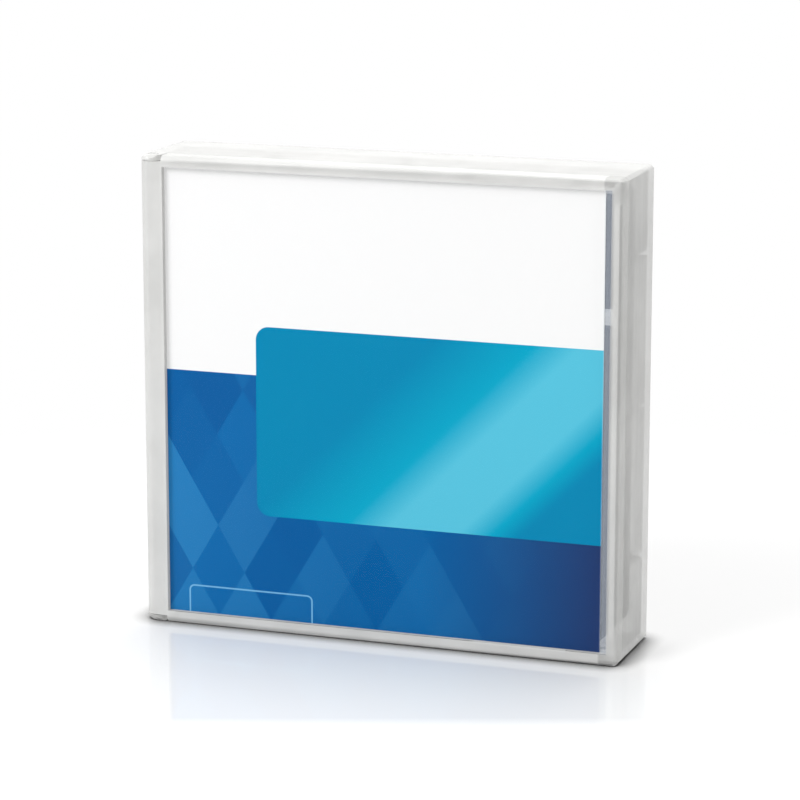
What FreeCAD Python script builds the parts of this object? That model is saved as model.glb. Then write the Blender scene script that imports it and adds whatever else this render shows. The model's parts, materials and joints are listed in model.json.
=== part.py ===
import FreeCAD, Part
import math
import os

# A half-inch, single-reel data tape cartridge in its clear storage case, standing on its long edge.
# The case is modelled where it stands: +X to the opening side, +Y to the back, +Z up, millimetres.
# The cartridge is modelled in a frame of its own and turned into the case at the end:
# x from the insertion end to the label end, y from the plain side to the door side, z up from
# the lower face. Its upper face looks out of the front of the case.

# ---------------------------------------------------------------- cartridge: driving dimensions
CART_LENGTH = 105.4
CART_WIDTH = 102.0
LOWER_HEIGHT = 10.75
UPPER_HEIGHT = 10.75
CART_HEIGHT = LOWER_HEIGHT + UPPER_HEIGHT
SHELL_SIDE = 1.8
SHELL_FACE = 1.6
SHELL_CORNER = 3.0
SHELL_EDGE = 0.8
RIM_STEP = 0.9
TONGUE_DEPTH = 1.0
SHELL_SEAM = 0.05

FLANGE_GAP = 1.6
REEL_END_GAP = 2.0
HUB_OPENING_R = 21.3
REEL_SEAT_WIDTH = 2.0
REEL_SEAT_HEIGHT = 0.8
REEL_SEAT_SIDES = 24
REEL_FLOAT = 0.1
LOWER_FLANGE = 1.2
UPPER_FLANGE = 1.0
HUB_R = 22.0
HUB_WALL = 1.6
HUB_WEB = 1.8
TAPE_WIDTH = 12.65
TAPE_SIDE_GAP = 0.1
TAPE_BORE_GAP = 0.05
PACK_MARGIN = 2.6
FREE_TAPE = 0.15
FREE_TAPE_GAP = 0.3

DRIVE_TEETH = 48
DRIVE_TEETH_IN = 17.2
DRIVE_TEETH_OUT = 20.2
DRIVE_TOOTH_HEIGHT = 1.2
DRIVE_TOOTH_BASE = 1.2
DRIVE_TOOTH_TIP = 0.6
PLATE_R = 16.8
PLATE_BORE = 5.0
PLATE_THICK = 0.8

LOCK_TEETH = 24
LOCK_TEETH_IN = 13.1
LOCK_TEETH_OUT = 15.7
LOCK_TOOTH_HEIGHT = 1.0
LOCK_TOOTH_BASE = 2.0
LOCK_TOOTH_TIP = 0.7
TOOTH_ROOT = 0.1
LOCK_MESH_GAP = 0.1
LOCK_POST = 1.7
ARM_WIDTH = 4.0
ARM_CLEAR = 0.6
LEG_IN = 17.7
LEG_OUT = 19.7
LEG_CLEAR = 0.35
LEG_RECESS = 0.2
PAD_THICK = 1.2
PAD_FLOAT = 0.1
PAD_R = 9.0

BRAKE_R = 16.4
BRAKE_DISC = 1.4
BRAKE_NOSE_R = 4.0
SLEEVE_R = 9.0
SLEEVE_HEIGHT = 8.9
BRAKE_LIFT = 1.8
KEY_LENGTH = 13.4
KEY_WIDTH = 2.4
KEY_POST_R = 5.0
KEY_CLEAR = 0.2
KEY_TOP_GAP = 0.4
BORE_FLOOR = 1.5
BRAKE_SPRING_R = 11.4
BRAKE_WIRE = 0.9
BRAKE_TURNS = 4
BRAKE_CHORDS = 12
SPRING_SEAT_GAP = 0.05
SPRING_RIB = 1.0
SPRING_RIB_WIDTH = 4.0

GUARD_GAP = 0.6
GUARD_WALL = 1.0
# Start and end angles of the guard walls round the reel: they stand in the corners of the
# shells, and leave the tape its way to the leader pin.
GUARD_SECTORS = [(22, 68), (112, 128), (200, 248), (292, 338)]

SCREW_SIDES = 12
FRONT_SCREW_INSET = 8.5
PIN_SCREW_X = 18.0
PIN_SCREW_INSET = 9.5
CHIP_SCREW_END = 18.9
CHIP_SCREW_INSET = 6.4
FAR_SCREW_END = 7.9
FAR_SCREW_INSET = 7.5
BOSS_R = 3.4
SCREW_R = 1.0
SCREW_HEAD_R = 1.9
SCREW_HEAD = 1.4
SCREW_SUNK = 0.5
SCREW_LENGTH = 12.1
SCREW_CLEAR = 0.2
THREAD_CLEAR = 0.05
HOLE_BEYOND = 1.0
SCREW_SOCKET_R = 0.9
SCREW_SOCKET_DEPTH = 0.7

DOOR_WINDOW_START = 3.6
DOOR_WINDOW_LENGTH = 15.4
DOOR_WINDOW_MARGIN = 1.4
DOOR_THICK = 1.4
DOOR_LAP = 1.5
DOOR_TAIL = 7.0
DOOR_CLEAR = 0.2
DOOR_END_CLEAR = 0.3
DOOR_TRAVEL = 17.0
DOOR_GROOVES = 4
RAIL_WIDTH = 1.0
RAIL_HEIGHT = 0.8
RAIL_BEYOND = 14.0
FINGER_NOTCH = 7.0
DOOR_SPRING_R = 0.65
DOOR_WIRE = 0.3
DOOR_SPRING_SHUT = 6.8
DOOR_SPRING_TURNS = 7
DOOR_SPRING_CHORDS = 8
SPRING_STOP = 1.2

PIN_X = 7.6
PIN_Y_INSET = 7.6
PIN_R = 1.25
PIN_END_R = 2.2
PIN_END_THICK = 0.9
PIN_FLOAT = 0.3
PIN_WIRE = 0.5
PIN_WIRE_GAP = 0.15
PIN_WIRE_CHORDS = 6
PIN_GUIDE_GAP = 0.25
PIN_GUIDE_WALL = 1.0
PIN_GUIDE_LENGTH = 9.0
PIN_GUIDE_HEIGHT = 1.5
PIN_GUIDE_AHEAD = 2.4
CLIP_R = 2.0
CLIP_END_GAP = 0.8
CLIP_SLOT = 0.4

SWITCH_Y = 18.3
SWITCH_TAB = 3.0
SWITCH_TRAVEL = 3.4
SWITCH_PLAY = 0.3
SWITCH_LAP = 3.4
SWITCH_BODY = 1.7
SWITCH_CLEAR = 0.2
SWITCH_Z = 4.3
SWITCH_TAB_HEIGHT = 3.6
SWITCH_TAB_SUNK = 0.5

CHIP_LENGTH = 13.0
CHIP_HEIGHT = 8.0
CHIP_THICK = 0.4
CHIP_INSET = 8.6
CHIP_POST = 2.2
CHIP_CLEAR = 0.05
DIE_SIZE = 3.0
DIE_THICK = 0.4

LABEL_RECESS = 0.5
LABEL_START = 32.0
LABEL_END_MARGIN = 5.0
LABEL_EDGE = 2.6
GRIP_PITCH = 3.0
GRIP_COUNT = 7
GRIP_WIDTH = 1.4
GRIP_DEPTH = 0.35
GRIP_START = 66.0
GRIP_EDGE = 3.2
TOP_FIELD_DEPTH = 0.4
TOP_FIELD_MARGIN = 13.0
TOP_FIELD_CORNER = 4.0
ARROW_SIZE = 5.0
ARROW_INSET = 4.5
PICK_NOTCH_X = 26.0
PICK_NOTCH_LENGTH = 6.0
PICK_NOTCH_DEPTH = 1.0
PICK_NOTCH_EDGE = 6.0

# ---------------------------------------------------------------- case: driving dimensions
CASE_WALL = 1.3
CARD = 0.3
CARD_SLOT = 0.35
CARD_TAB = 0.6
CARD_TAB_CLEAR = 0.25
SEAT_PAD = 0.5
SIDE_GAP = 2.7
END_GAP = 2.6
BARREL_R = 2.7
BARREL_WALL = 1.2
BARREL_CLEAR = 0.3
CASE_EDGE = 0.8
FRONT_EDGE = 1.0
BACK_EDGE = 1.5
LID_RIM = 4.2
PART_GAP = 0.1

EAR_GAP = 0.2
EAR_SIDE_GAP = 0.25
HINGE_PIN_R = 1.2
HINGE_CLEAR = 0.06
HINGE_PIN_INSET = 0.15
LEFT_WALL_CLEAR = 0.3

LIP = 1.0
LIP_CLEAR = 0.15
LIP_REACH = 2.1
LIP_START = 7.0
TOP_LIP_LENGTH = 73.5
SHORT_LIP_LENGTH = 10.0
SIDE_LIP_MARGIN = 6.0
SNAP_R = 0.5
SNAP_PROUD = 0.35
SNAP_CLEAR = 0.12
SNAP_LENGTH = 10.0
SNAP_INSET = 30.0
SNAP_BACK = 1.1
TAB_HEIGHT = 3.6
TAB_DROP = 29.1
TAB_LAP = 1.2

CARD_LEFT = 5.3
CARD_RIGHT = 4.4
CARD_BOTTOM = 2.4
CARD_TOP = 2.6
CARD_LAP = 0.9
CARD_TOP_GAP = 0.3

RIB = 1.2
RIB_CLEAR = 0.2
RIB_INSET = 20.0
RIB_LIP_CLEAR = 0.8
PAD_SIDE = 9.0
PAD_INSET = 22.0
HUB_STOP_R = 16.6
HUB_STOP_WALL = 1.8
HUB_STOP_WIDTH = 7.0
HUB_STOP_RISE = 0.9
HUB_STOPS = 4

# ---------------------------------------------------------------- case: sizes that follow
CASE_W = 2 * BARREL_R + BARREL_CLEAR + CART_LENGTH + END_GAP + CASE_WALL
CARD_ROOM = CARD_SLOT + CARD_TAB + CARD_TAB_CLEAR
CASE_D = CASE_WALL + CARD_ROOM + CART_HEIGHT + SEAT_PAD + CASE_WALL
CASE_H = CART_WIDTH + 2 * (SIDE_GAP + CASE_WALL)
LEFT = -CASE_W / 2
RIGHT = CASE_W / 2
FRONT = -CASE_D / 2
BACK = CASE_D / 2
PANEL_BACK = FRONT + CASE_WALL
FLOOR_FRONT = BACK - CASE_WALL
LID_EDGE = FRONT + LID_RIM
TRAY_EDGE = LID_EDGE + PART_GAP
INNER_LEFT = LEFT + CASE_WALL
INNER_RIGHT = RIGHT - CASE_WALL
INNER_BOTTOM = CASE_WALL
INNER_TOP = CASE_H - CASE_WALL
AXIS_X = LEFT + BARREL_R
AXIS_Y = FRONT + BARREL_R
LEFT_WALL_EDGE = AXIS_Y + BARREL_R + LEFT_WALL_CLEAR
EAR_RIGHT = AXIS_X + BARREL_R
RIM_LEFT = EAR_RIGHT + EAR_SIDE_GAP
BARREL_LOW = CASE_WALL + EAR_GAP
BARREL_HIGH = CASE_H - BARREL_LOW
LIP_FRONT = PANEL_BACK + CARD_SLOT
LIP_BACK = TRAY_EDGE + LIP_REACH
LIP_OUT = INNER_RIGHT - LIP_CLEAR
LIP_IN = LIP_OUT - LIP

# Where the cartridge's own origin lies in the case.
CART_X = EAR_RIGHT + BARREL_CLEAR
CART_Y = FLOOR_FRONT - SEAT_PAD
CART_Z = CASE_WALL + SIDE_GAP
CART_RIGHT = CART_X + CART_LENGTH
CART_TOP = CART_Z + CART_WIDTH

# ---------------------------------------------------------------- cartridge: sizes that follow
CEILING = CART_HEIGHT - SHELL_FACE
INNER_X = CART_LENGTH - SHELL_SIDE
INNER_Y = CART_WIDTH - SHELL_SIDE
# The reel fills the shorter side of the shells and lies towards their label end.
FLANGE_R = min(CART_LENGTH, CART_WIDTH) / 2 - SHELL_SIDE - FLANGE_GAP
PACK_R = FLANGE_R - PACK_MARGIN
REEL_X = INNER_X - REEL_END_GAP - FLANGE_R
REEL_Y = CART_WIDTH / 2
HUB_LOW = SHELL_FACE + REEL_SEAT_HEIGHT + REEL_FLOAT
WEB_TOP = HUB_LOW + HUB_WEB
TAPE_LOW = HUB_LOW + LOWER_FLANGE + TAPE_SIDE_GAP
TAPE_HIGH = TAPE_LOW + TAPE_WIDTH
HUB_HIGH = TAPE_HIGH + TAPE_SIDE_GAP
HUB_IN = HUB_R - HUB_WALL
TEETH_LOW = HUB_LOW - DRIVE_TOOTH_HEIGHT
LOCK_ROOT = WEB_TOP + LOCK_POST
PAD_LOW = WEB_TOP + PAD_FLOAT
PAD_HIGH = PAD_LOW + PAD_THICK
BRAKE_LOW = LOCK_ROOT + LOCK_TOOTH_HEIGHT + LOCK_MESH_GAP
BRAKE_TOP = BRAKE_LOW + BRAKE_DISC
BORE_LOW = BRAKE_TOP + BORE_FLOOR
KEY_LOW = BORE_LOW + BRAKE_LIFT + KEY_TOP_GAP
GUARD_IN = FLANGE_R + GUARD_GAP
GUARD_OUT = GUARD_IN + GUARD_WALL
DOOR_Y = INNER_Y - DOOR_CLEAR - DOOR_THICK
DOOR_START = SHELL_SIDE + DOOR_END_CLEAR
DOOR_END = DOOR_WINDOW_START + DOOR_WINDOW_LENGTH + DOOR_TAIL
DOOR_SPRING_LENGTH = DOOR_TRAVEL + DOOR_SPRING_SHUT
RAIL_Y = DOOR_Y - DOOR_CLEAR - RAIL_WIDTH
PIN_Y = CART_WIDTH - PIN_Y_INSET
PIN_LOW = SHELL_FACE + PIN_FLOAT
PIN_HIGH = CEILING - PIN_FLOAT
WIRE_X = PIN_END_R + PIN_WIRE_GAP + PIN_WIRE / 2
GUIDE_X = WIRE_X + PIN_WIRE / 2 + PIN_GUIDE_GAP
SWITCH_SLOT = SWITCH_TAB + SWITCH_TRAVEL + 2 * SWITCH_PLAY
SCREW_HEAD_TOP = SCREW_SUNK + SCREW_HEAD

# Screw places: two by the insertion end, one by the chip and one in the far corner.
SCREWS = [
    (FRONT_SCREW_INSET, FRONT_SCREW_INSET),
    (PIN_SCREW_X, CART_WIDTH - PIN_SCREW_INSET),
    (CART_LENGTH - CHIP_SCREW_END, CHIP_SCREW_INSET),
    (CART_LENGTH - FAR_SCREW_END, CART_WIDTH - FAR_SCREW_INSET),
]


# ---------------------------------------------------------------- helpers
def vec(x, y, z):
    return FreeCAD.Vector(x, y, z)


def box(x0, x1, y0, y1, z0, z1):
    return Part.makeBox(x1 - x0, y1 - y0, z1 - z0, vec(x0, y0, z0))


def rod(radius, z0, z1, x=0.0, y=0.0):
    return Part.makeCylinder(radius, z1 - z0, vec(x, y, z0))


def tube(inner, outer, z0, z1, x=0.0, y=0.0):
    return rod(outer, z0, z1, x, y).cut(rod(inner, z0 - 1, z1 + 1, x, y))


def joined(shapes):
    return shapes[0].multiFuse(shapes[1:]).removeSplitter()


def ring_points(sides, radius, x=0.0, y=0.0):
    """The corners of a regular polygon that lie on the radius."""
    points = []
    for k in range(sides):
        angle = 2 * math.pi * k / sides
        points.append((x + radius * math.cos(angle), y + radius * math.sin(angle)))
    return points


def flat_sided(sides, radius, z0, z1, x=0.0, y=0.0):
    """An upright prism with a regular polygon for its outline."""
    return prism(ring_points(sides, radius, x, y), z0, z1)


def hexagon(radius, z0, z1, x=0.0, y=0.0):
    return flat_sided(6, radius, z0, z1, x, y)


def solid_of(outlines):
    """A solid inside flat faces, each given by its corners in order."""
    faces = [Part.Face(Part.makePolygon(corners + corners[:1])) for corners in outlines]
    solid = Part.Solid(Part.Shell(faces))
    return solid if solid.Volume > 0 else solid.reversed()


def flat_sided_cone(sides, low_r, high_r, z0, z1):
    """A cone with flat sides on the z axis, from one radius up to the other."""
    low = [vec(x, y, z0) for x, y in ring_points(sides, low_r)]
    high = [vec(x, y, z1) for x, y in ring_points(sides, high_r)]
    outlines = [low, high]
    for i in range(sides):
        outlines.append([low[i - 1], low[i], high[i], high[i - 1]])
    return solid_of(outlines)


def edges_along_z(shape):
    found = []
    for edge in shape.Edges:
        bounds = edge.BoundBox
        if bounds.XLength < 1e-6 and bounds.YLength < 1e-6:
            found.append(edge)
    return found


def edges_at_height(shape, z):
    found = []
    for edge in shape.Edges:
        bounds = edge.BoundBox
        if abs(bounds.ZMin - z) < 1e-6 and abs(bounds.ZMax - z) < 1e-6:
            found.append(edge)
    return found


def rounded_box(x0, x1, y0, y1, z0, z1, radius):
    block = box(x0, x1, y0, y1, z0, z1)
    return block.makeFillet(radius, edges_along_z(block))


def revolved(points):
    """A solid turned about the z axis from its half section, given as (radius, z) points."""
    corners = [vec(r, 0, z) for r, z in points]
    face = Part.Face(Part.makePolygon(corners + corners[:1]))
    return face.revolve(vec(0, 0, 0), vec(0, 0, 1), 360)


def prism(points, z0, z1):
    """A flat outline of (x, y) points raised from z0 to z1."""
    corners = [vec(x, y, z0) for x, y in points]
    return Part.Face(Part.makePolygon(corners + corners[:1])).extrude(vec(0, 0, z1 - z0))


def sector(start, end, radius, z0, z1):
    """A pie slice between two angles in degrees, each under half a turn apart."""
    middle = math.radians((start + end) / 2)
    far = radius * 1.5
    points = [(0, 0)]
    for angle in (math.radians(start), middle, math.radians(end)):
        points.append((far * math.cos(angle), far * math.sin(angle)))
    return prism(points, z0, z1)


def turned(shape, degrees):
    copy = shape.copy()
    copy.rotate(vec(0, 0, 0), vec(0, 0, 1), degrees)
    return copy


def tooth(r_in, r_out, foot_z, root_z, tip_z, base, tip):
    """A face tooth along +X: straight from its foot to its root, then tapering to its tip."""
    section = [
        vec(r_in, -base / 2, foot_z),
        vec(r_in, -base / 2, root_z),
        vec(r_in, -tip / 2, tip_z),
        vec(r_in, tip / 2, tip_z),
        vec(r_in, base / 2, root_z),
        vec(r_in, base / 2, foot_z),
    ]
    face = Part.Face(Part.makePolygon(section + section[:1]))
    return face.extrude(vec(r_out - r_in, 0, 0))


def coil(radius, wire, length, turns, chords):
    """A coil spring of square wire along +Z from z = 0, bent in some chords a turn."""
    count = turns * chords
    rise = (length - wire) / count
    sections = []
    for k in range(count + 1):
        angle = 2 * math.pi * k / chords
        along = vec(math.cos(angle), math.sin(angle), 0)
        inner = along * (radius - wire / 2) + vec(0, 0, rise * k)
        outer = along * (radius + wire / 2) + vec(0, 0, rise * k)
        up = vec(0, 0, wire)
        sections.append([inner, outer, outer + up, inner + up])
    outlines = [sections[0], sections[-1]]
    for here, there in zip(sections, sections[1:]):
        for i in range(4):
            j = (i + 1) % 4
            outlines.append([here[i], here[j], there[j]])
            outlines.append([here[i], there[j], there[i]])
    return solid_of(outlines)


def at_reel(shape):
    shape.translate(vec(REEL_X, REEL_Y, 0))
    return shape


def into_case(shape):
    """From the cartridge's own frame into its seat in the standing case."""
    placed = shape.copy()
    placed.rotate(vec(0, 0, 0), vec(1, 0, 0), 90)
    placed.translate(vec(CART_X, CART_Y, CART_Z))
    return placed


# ---------------------------------------------------------------- the case
def case_block():
    """The closed case's outer form, a full-depth block that both mouldings are cut from."""
    block = box(LEFT, RIGHT, FRONT, BACK, 0, CASE_H)
    radii = {
        (LEFT, FRONT): BARREL_R,
        (RIGHT, FRONT): FRONT_EDGE,
        (LEFT, BACK): BACK_EDGE,
        (RIGHT, BACK): BACK_EDGE,
    }
    for (x, y), radius in radii.items():
        corner = [
            edge
            for edge in edges_along_z(block)
            if abs(edge.BoundBox.XMin - x) < 1e-6 and abs(edge.BoundBox.YMin - y) < 1e-6
        ]
        block = block.makeFillet(radius, corner)
    rims = edges_at_height(block, 0) + edges_at_height(block, CASE_H)
    return block.makeChamfer(CASE_EDGE, rims)


def mirrored_up(shape):
    """A copy at the top of the case of something modelled at its bottom."""
    return shape.mirror(vec(0, 0, CASE_H / 2), vec(0, 0, 1))


def both_ends(shape):
    return [shape, mirrored_up(shape)]


def hinge_ear():
    """The round ear at the tray's front left corner that takes the lid's lower pin."""
    eye = rod(BARREL_R, 0, CASE_WALL, AXIS_X, AXIS_Y)
    neck = box(LEFT, EAR_RIGHT, AXIS_Y, TRAY_EDGE + CASE_WALL, 0, CASE_WALL)
    return joined([eye, neck])


def seat_ribs():
    """Ribs between the tray's walls and the cartridge."""
    ribs = []
    front = LIP_BACK + RIB_LIP_CLEAR
    low, high = RIB_INSET, CASE_H - RIB_INSET
    for z in (low, CASE_H / 2, high):
        ribs.append(
            box(INNER_LEFT, CART_X - RIB_CLEAR, LEFT_WALL_EDGE, FLOOR_FRONT, z - RIB / 2, z + RIB / 2)
        )
        ribs.append(
            box(CART_RIGHT + RIB_CLEAR, INNER_RIGHT, front, FLOOR_FRONT, z - RIB / 2, z + RIB / 2)
        )
    middle = CART_X + CART_LENGTH / 2
    reach = CART_LENGTH / 2 - RIB_INSET
    for x in (middle - reach, middle, middle + reach):
        ribs.append(box(x - RIB / 2, x + RIB / 2, front, FLOOR_FRONT, INNER_BOTTOM, CART_Z))
        ribs.append(
            box(x - RIB / 2, x + RIB / 2, front, FLOOR_FRONT, CART_TOP + RIB_CLEAR, INNER_TOP)
        )
    return ribs


def floor_pads():
    """In the cartridge's frame: four low pads, and the stops that stand in the hub opening."""
    parts = []
    for x in (PAD_INSET, CART_LENGTH - PAD_INSET):
        for y in (PAD_INSET, CART_WIDTH - PAD_INSET):
            half = PAD_SIDE / 2
            parts.append(box(x - half, x + half, y - half, y + half, -SEAT_PAD, 0))
    half = HUB_STOP_WIDTH / 2
    stop = box(HUB_STOP_R - HUB_STOP_WALL, HUB_STOP_R, -half, half, -SEAT_PAD, HUB_STOP_RISE)
    for k in range(HUB_STOPS):
        parts.append(at_reel(turned(stop, 360 * k / HUB_STOPS)))
    return [into_case(part) for part in parts]


def snap_rods(radius, length):
    """The two latch ridges on the lid's side lip, or the grooves that they sit in."""
    x = LIP_OUT + SNAP_PROUD - SNAP_R
    y = LIP_BACK - SNAP_BACK
    rods = []
    for z in (SNAP_INSET, CASE_H - SNAP_INSET):
        rods.append(rod(radius, z - length / 2, z + length / 2, x, y))
    return rods


def case_base():
    block = case_block()
    outer = block.common(box(LEFT, RIGHT, TRAY_EDGE, BACK, 0, CASE_H))
    ears = [block.common(ear) for ear in both_ends(hinge_ear())]
    tray = joined([outer] + ears)
    inside = box(INNER_LEFT, INNER_RIGHT, FRONT, FLOOR_FRONT, INNER_BOTTOM, INNER_TOP)
    tray = tray.cut(inside)
    # The left wall stops short of the barrel, so that the lid can lie flat open.
    tray = tray.cut(box(LEFT, EAR_RIGHT, FRONT, LEFT_WALL_EDGE, INNER_BOTTOM, INNER_TOP))
    tray = joined([tray] + seat_ribs() + floor_pads())
    hole = rod(HINGE_PIN_R + HINGE_CLEAR, -1, BARREL_LOW, AXIS_X, AXIS_Y)
    cuts = both_ends(hole) + snap_rods(SNAP_R + SNAP_CLEAR, SNAP_LENGTH + 2 * SNAP_CLEAR)
    for cut in cuts:
        tray = tray.cut(cut)
    return tray


def lid_barrel():
    """The half-round hinge side of the lid, with a pin at each end."""
    half = tube(BARREL_R - BARREL_WALL, BARREL_R, BARREL_LOW, BARREL_HIGH, AXIS_X, AXIS_Y)
    left_of_axis = box(LEFT, AXIS_X, FRONT, AXIS_Y + BARREL_R, 0, CASE_H)
    parts = [half.common(left_of_axis)]
    cap_high = BARREL_LOW + BARREL_WALL
    cap = rod(BARREL_R, BARREL_LOW, cap_high, AXIS_X, AXIS_Y).common(left_of_axis)
    pin = rod(HINGE_PIN_R, HINGE_PIN_INSET, cap_high, AXIS_X, AXIS_Y)
    return parts + both_ends(cap) + both_ends(pin)


def card_lip(x0, x1, card_edge, gap):
    """A lip at the lid's bottom: the card's edge stands on its seat and behind its lap."""
    blade_low = INNER_BOTTOM + LIP_CLEAR
    blade_high = blade_low + LIP
    lap_back = LIP_FRONT + CARD_TAB
    seat = box(x0, x1, PANEL_BACK, LIP_FRONT, INNER_BOTTOM, card_edge - gap)
    lap = box(x0, x1, LIP_FRONT, lap_back, INNER_BOTTOM, card_edge + CARD_LAP)
    root = box(x0, x1, lap_back, LID_EDGE, INNER_BOTTOM, blade_high)
    blade = box(x0, x1, LID_EDGE, LIP_BACK, blade_low, blade_high)
    return joined([seat, lap, root, blade])


def lid_lips():
    """The lips inside the rim: they slip inside the tray's walls and hold the card's edges."""
    lips = []
    long_lip = (LEFT + LIP_START, LEFT + LIP_START + TOP_LIP_LENGTH)
    short_lip = (LIP_IN - SHORT_LIP_LENGTH, LIP_IN)
    for x0, x1 in (long_lip, short_lip):
        lips.append(card_lip(x0, x1, CARD_BOTTOM, 0))
        lips.append(mirrored_up(card_lip(x0, x1, CARD_TOP, CARD_TOP_GAP)))
    z0, z1 = SIDE_LIP_MARGIN, CASE_H - SIDE_LIP_MARGIN
    lips.append(box(LIP_IN, INNER_RIGHT, LIP_FRONT, LID_EDGE, z0, z1))
    lips.append(box(LIP_IN, LIP_OUT, LID_EDGE, LIP_BACK, z0, z1))
    lips += snap_rods(SNAP_R, SNAP_LENGTH)
    tab_high = CASE_H - TAB_DROP
    tab_low = tab_high - TAB_HEIGHT
    tab_left = RIGHT - CARD_RIGHT - TAB_LAP
    lips.append(box(tab_left, LIP_IN, LIP_FRONT, LIP_FRONT + CARD_TAB, tab_low, tab_high))
    return lips


def case_lid():
    lid = case_block().common(box(AXIS_X, RIGHT, FRONT, LID_EDGE, 0, CASE_H))
    inside = box(AXIS_X - 1, INNER_RIGHT, PANEL_BACK, BACK, INNER_BOTTOM, INNER_TOP)
    lid = lid.cut(inside)
    for corner in both_ends(box(LEFT, RIM_LEFT, FRONT, BACK, -1, BARREL_LOW)):
        lid = lid.cut(corner)
    return joined([lid] + lid_barrel() + lid_lips())


def inlay_card():
    x0, x1 = LEFT + CARD_LEFT, RIGHT - CARD_RIGHT
    return box(x0, x1, PANEL_BACK, PANEL_BACK + CARD, CARD_BOTTOM, CASE_H - CARD_TOP)


# ---------------------------------------------------------------- the cartridge's shells
def shell_ring(outer_inset, z0, z1):
    """The part of the side wall that lies further in than outer_inset."""
    radius = SHELL_CORNER - outer_inset
    outer = rounded_box(
        outer_inset, CART_LENGTH - outer_inset, outer_inset, CART_WIDTH - outer_inset, z0, z1, radius
    )
    return outer.cut(shell_cavity(z0 - 1, z1 + 1))


def shell_cavity(z0, z1):
    return box(SHELL_SIDE, INNER_X, SHELL_SIDE, INNER_Y, z0, z1)


def shell_block(z0, z1, face_z):
    block = rounded_box(0, CART_LENGTH, 0, CART_WIDTH, z0, z1, SHELL_CORNER)
    return block.makeChamfer(SHELL_EDGE, edges_at_height(block, face_z))


def guard_walls(z0, z1):
    walls = []
    ring = tube(GUARD_IN, GUARD_OUT, z0, z1)
    for start, end in GUARD_SECTORS:
        walls.append(at_reel(ring.common(sector(start, end, GUARD_OUT, z0, z1))))
    return walls


def pin_guides(z0, z1):
    """Two ribs that stand either side of the leader pin and its wire spring."""
    guides = []
    y1 = PIN_Y + PIN_GUIDE_AHEAD
    y0 = y1 - PIN_GUIDE_LENGTH
    for side in (-1, 1):
        inner = PIN_X + side * GUIDE_X
        outer = PIN_X + side * (GUIDE_X + PIN_GUIDE_WALL)
        guides.append(box(min(inner, outer), max(inner, outer), y0, y1, z0, z1))
    return guides


def door_rail(z0, z1):
    start = DOOR_WINDOW_START + DOOR_WINDOW_LENGTH + DOOR_CLEAR
    return box(start, DOOR_END + RAIL_BEYOND, RAIL_Y, RAIL_Y + RAIL_WIDTH, z0, z1)


def side_cuts():
    """Everything that is cut through or into both shells' walls from outside."""
    low = SHELL_FACE + DOOR_WINDOW_MARGIN
    high = CEILING - DOOR_WINDOW_MARGIN
    window_end = DOOR_WINDOW_START + DOOR_WINDOW_LENGTH
    finger_low = (CART_HEIGHT - FINGER_NOTCH) / 2
    finger_high = finger_low + FINGER_NOTCH
    cuts = [
        box(DOOR_WINDOW_START, window_end, INNER_Y - 1, CART_WIDTH + 1, low, high),
        box(-1, SHELL_SIDE + 1, DOOR_Y, INNER_Y - DOOR_CLEAR, finger_low, finger_high),
        box(
            CART_LENGTH - LABEL_RECESS,
            CART_LENGTH + 1,
            LABEL_START,
            CART_WIDTH - LABEL_END_MARGIN,
            LABEL_EDGE,
            CART_HEIGHT - LABEL_EDGE,
        ),
    ]
    notch_end = PICK_NOTCH_X + PICK_NOTCH_LENGTH
    notch_z = (PICK_NOTCH_EDGE, CART_HEIGHT - PICK_NOTCH_EDGE)
    cuts.append(box(PICK_NOTCH_X, notch_end, -1, PICK_NOTCH_DEPTH, *notch_z))
    cuts.append(
        box(PICK_NOTCH_X, notch_end, CART_WIDTH - PICK_NOTCH_DEPTH, CART_WIDTH + 1, *notch_z)
    )
    for k in range(GRIP_COUNT):
        x0 = GRIP_START + k * GRIP_PITCH
        for y0, y1 in ((-1, GRIP_DEPTH), (CART_WIDTH - GRIP_DEPTH, CART_WIDTH + 1)):
            cuts.append(box(x0, x0 + GRIP_WIDTH, y0, y1, GRIP_EDGE, CART_HEIGHT - GRIP_EDGE))
    return cuts


def chip_board(extra=0.0):
    """The board stands on edge across the corner between the plain side and the label end."""
    low = SHELL_FACE + CHIP_CLEAR - extra
    board = box(
        -CHIP_LENGTH / 2 - extra,
        CHIP_LENGTH / 2 + extra,
        -CHIP_THICK / 2 - extra,
        CHIP_THICK / 2 + extra,
        low,
        SHELL_FACE + CHIP_CLEAR + CHIP_HEIGHT + extra,
    )
    board = turned(board, 45)
    board.translate(vec(CART_LENGTH - CHIP_INSET, CHIP_INSET, 0))
    return board


def chip_posts():
    posts = []
    reach = CHIP_LENGTH / 2 * math.cos(math.radians(45))
    for side in (-1, 1):
        x = CART_LENGTH - CHIP_INSET + side * reach
        y = CHIP_INSET + side * reach
        half = CHIP_POST / 2
        post = box(-half, half, -half, half, SHELL_FACE, SHELL_FACE + CHIP_HEIGHT / 2)
        post = turned(post, 45)
        post.translate(vec(x, y, 0))
        posts.append(post)
    return posts


def switch_ledge():
    """The floor ledge that carries the write-protect switch, and the rib behind it."""
    y0 = SWITCH_Y - SWITCH_LAP - 1
    y1 = SWITCH_Y + SWITCH_SLOT + SWITCH_LAP + 1
    body_back = INNER_X - SWITCH_CLEAR - SWITCH_BODY
    body_low = SWITCH_Z - SWITCH_LAP / 3
    ledge = box(body_back - SWITCH_CLEAR, INNER_X, y0, y1, SHELL_FACE, body_low - SWITCH_CLEAR)
    fence = box(
        body_back - SWITCH_CLEAR - 1, body_back - SWITCH_CLEAR, y0, y1, SHELL_FACE, SWITCH_Z
    )
    return [ledge, fence]


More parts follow.
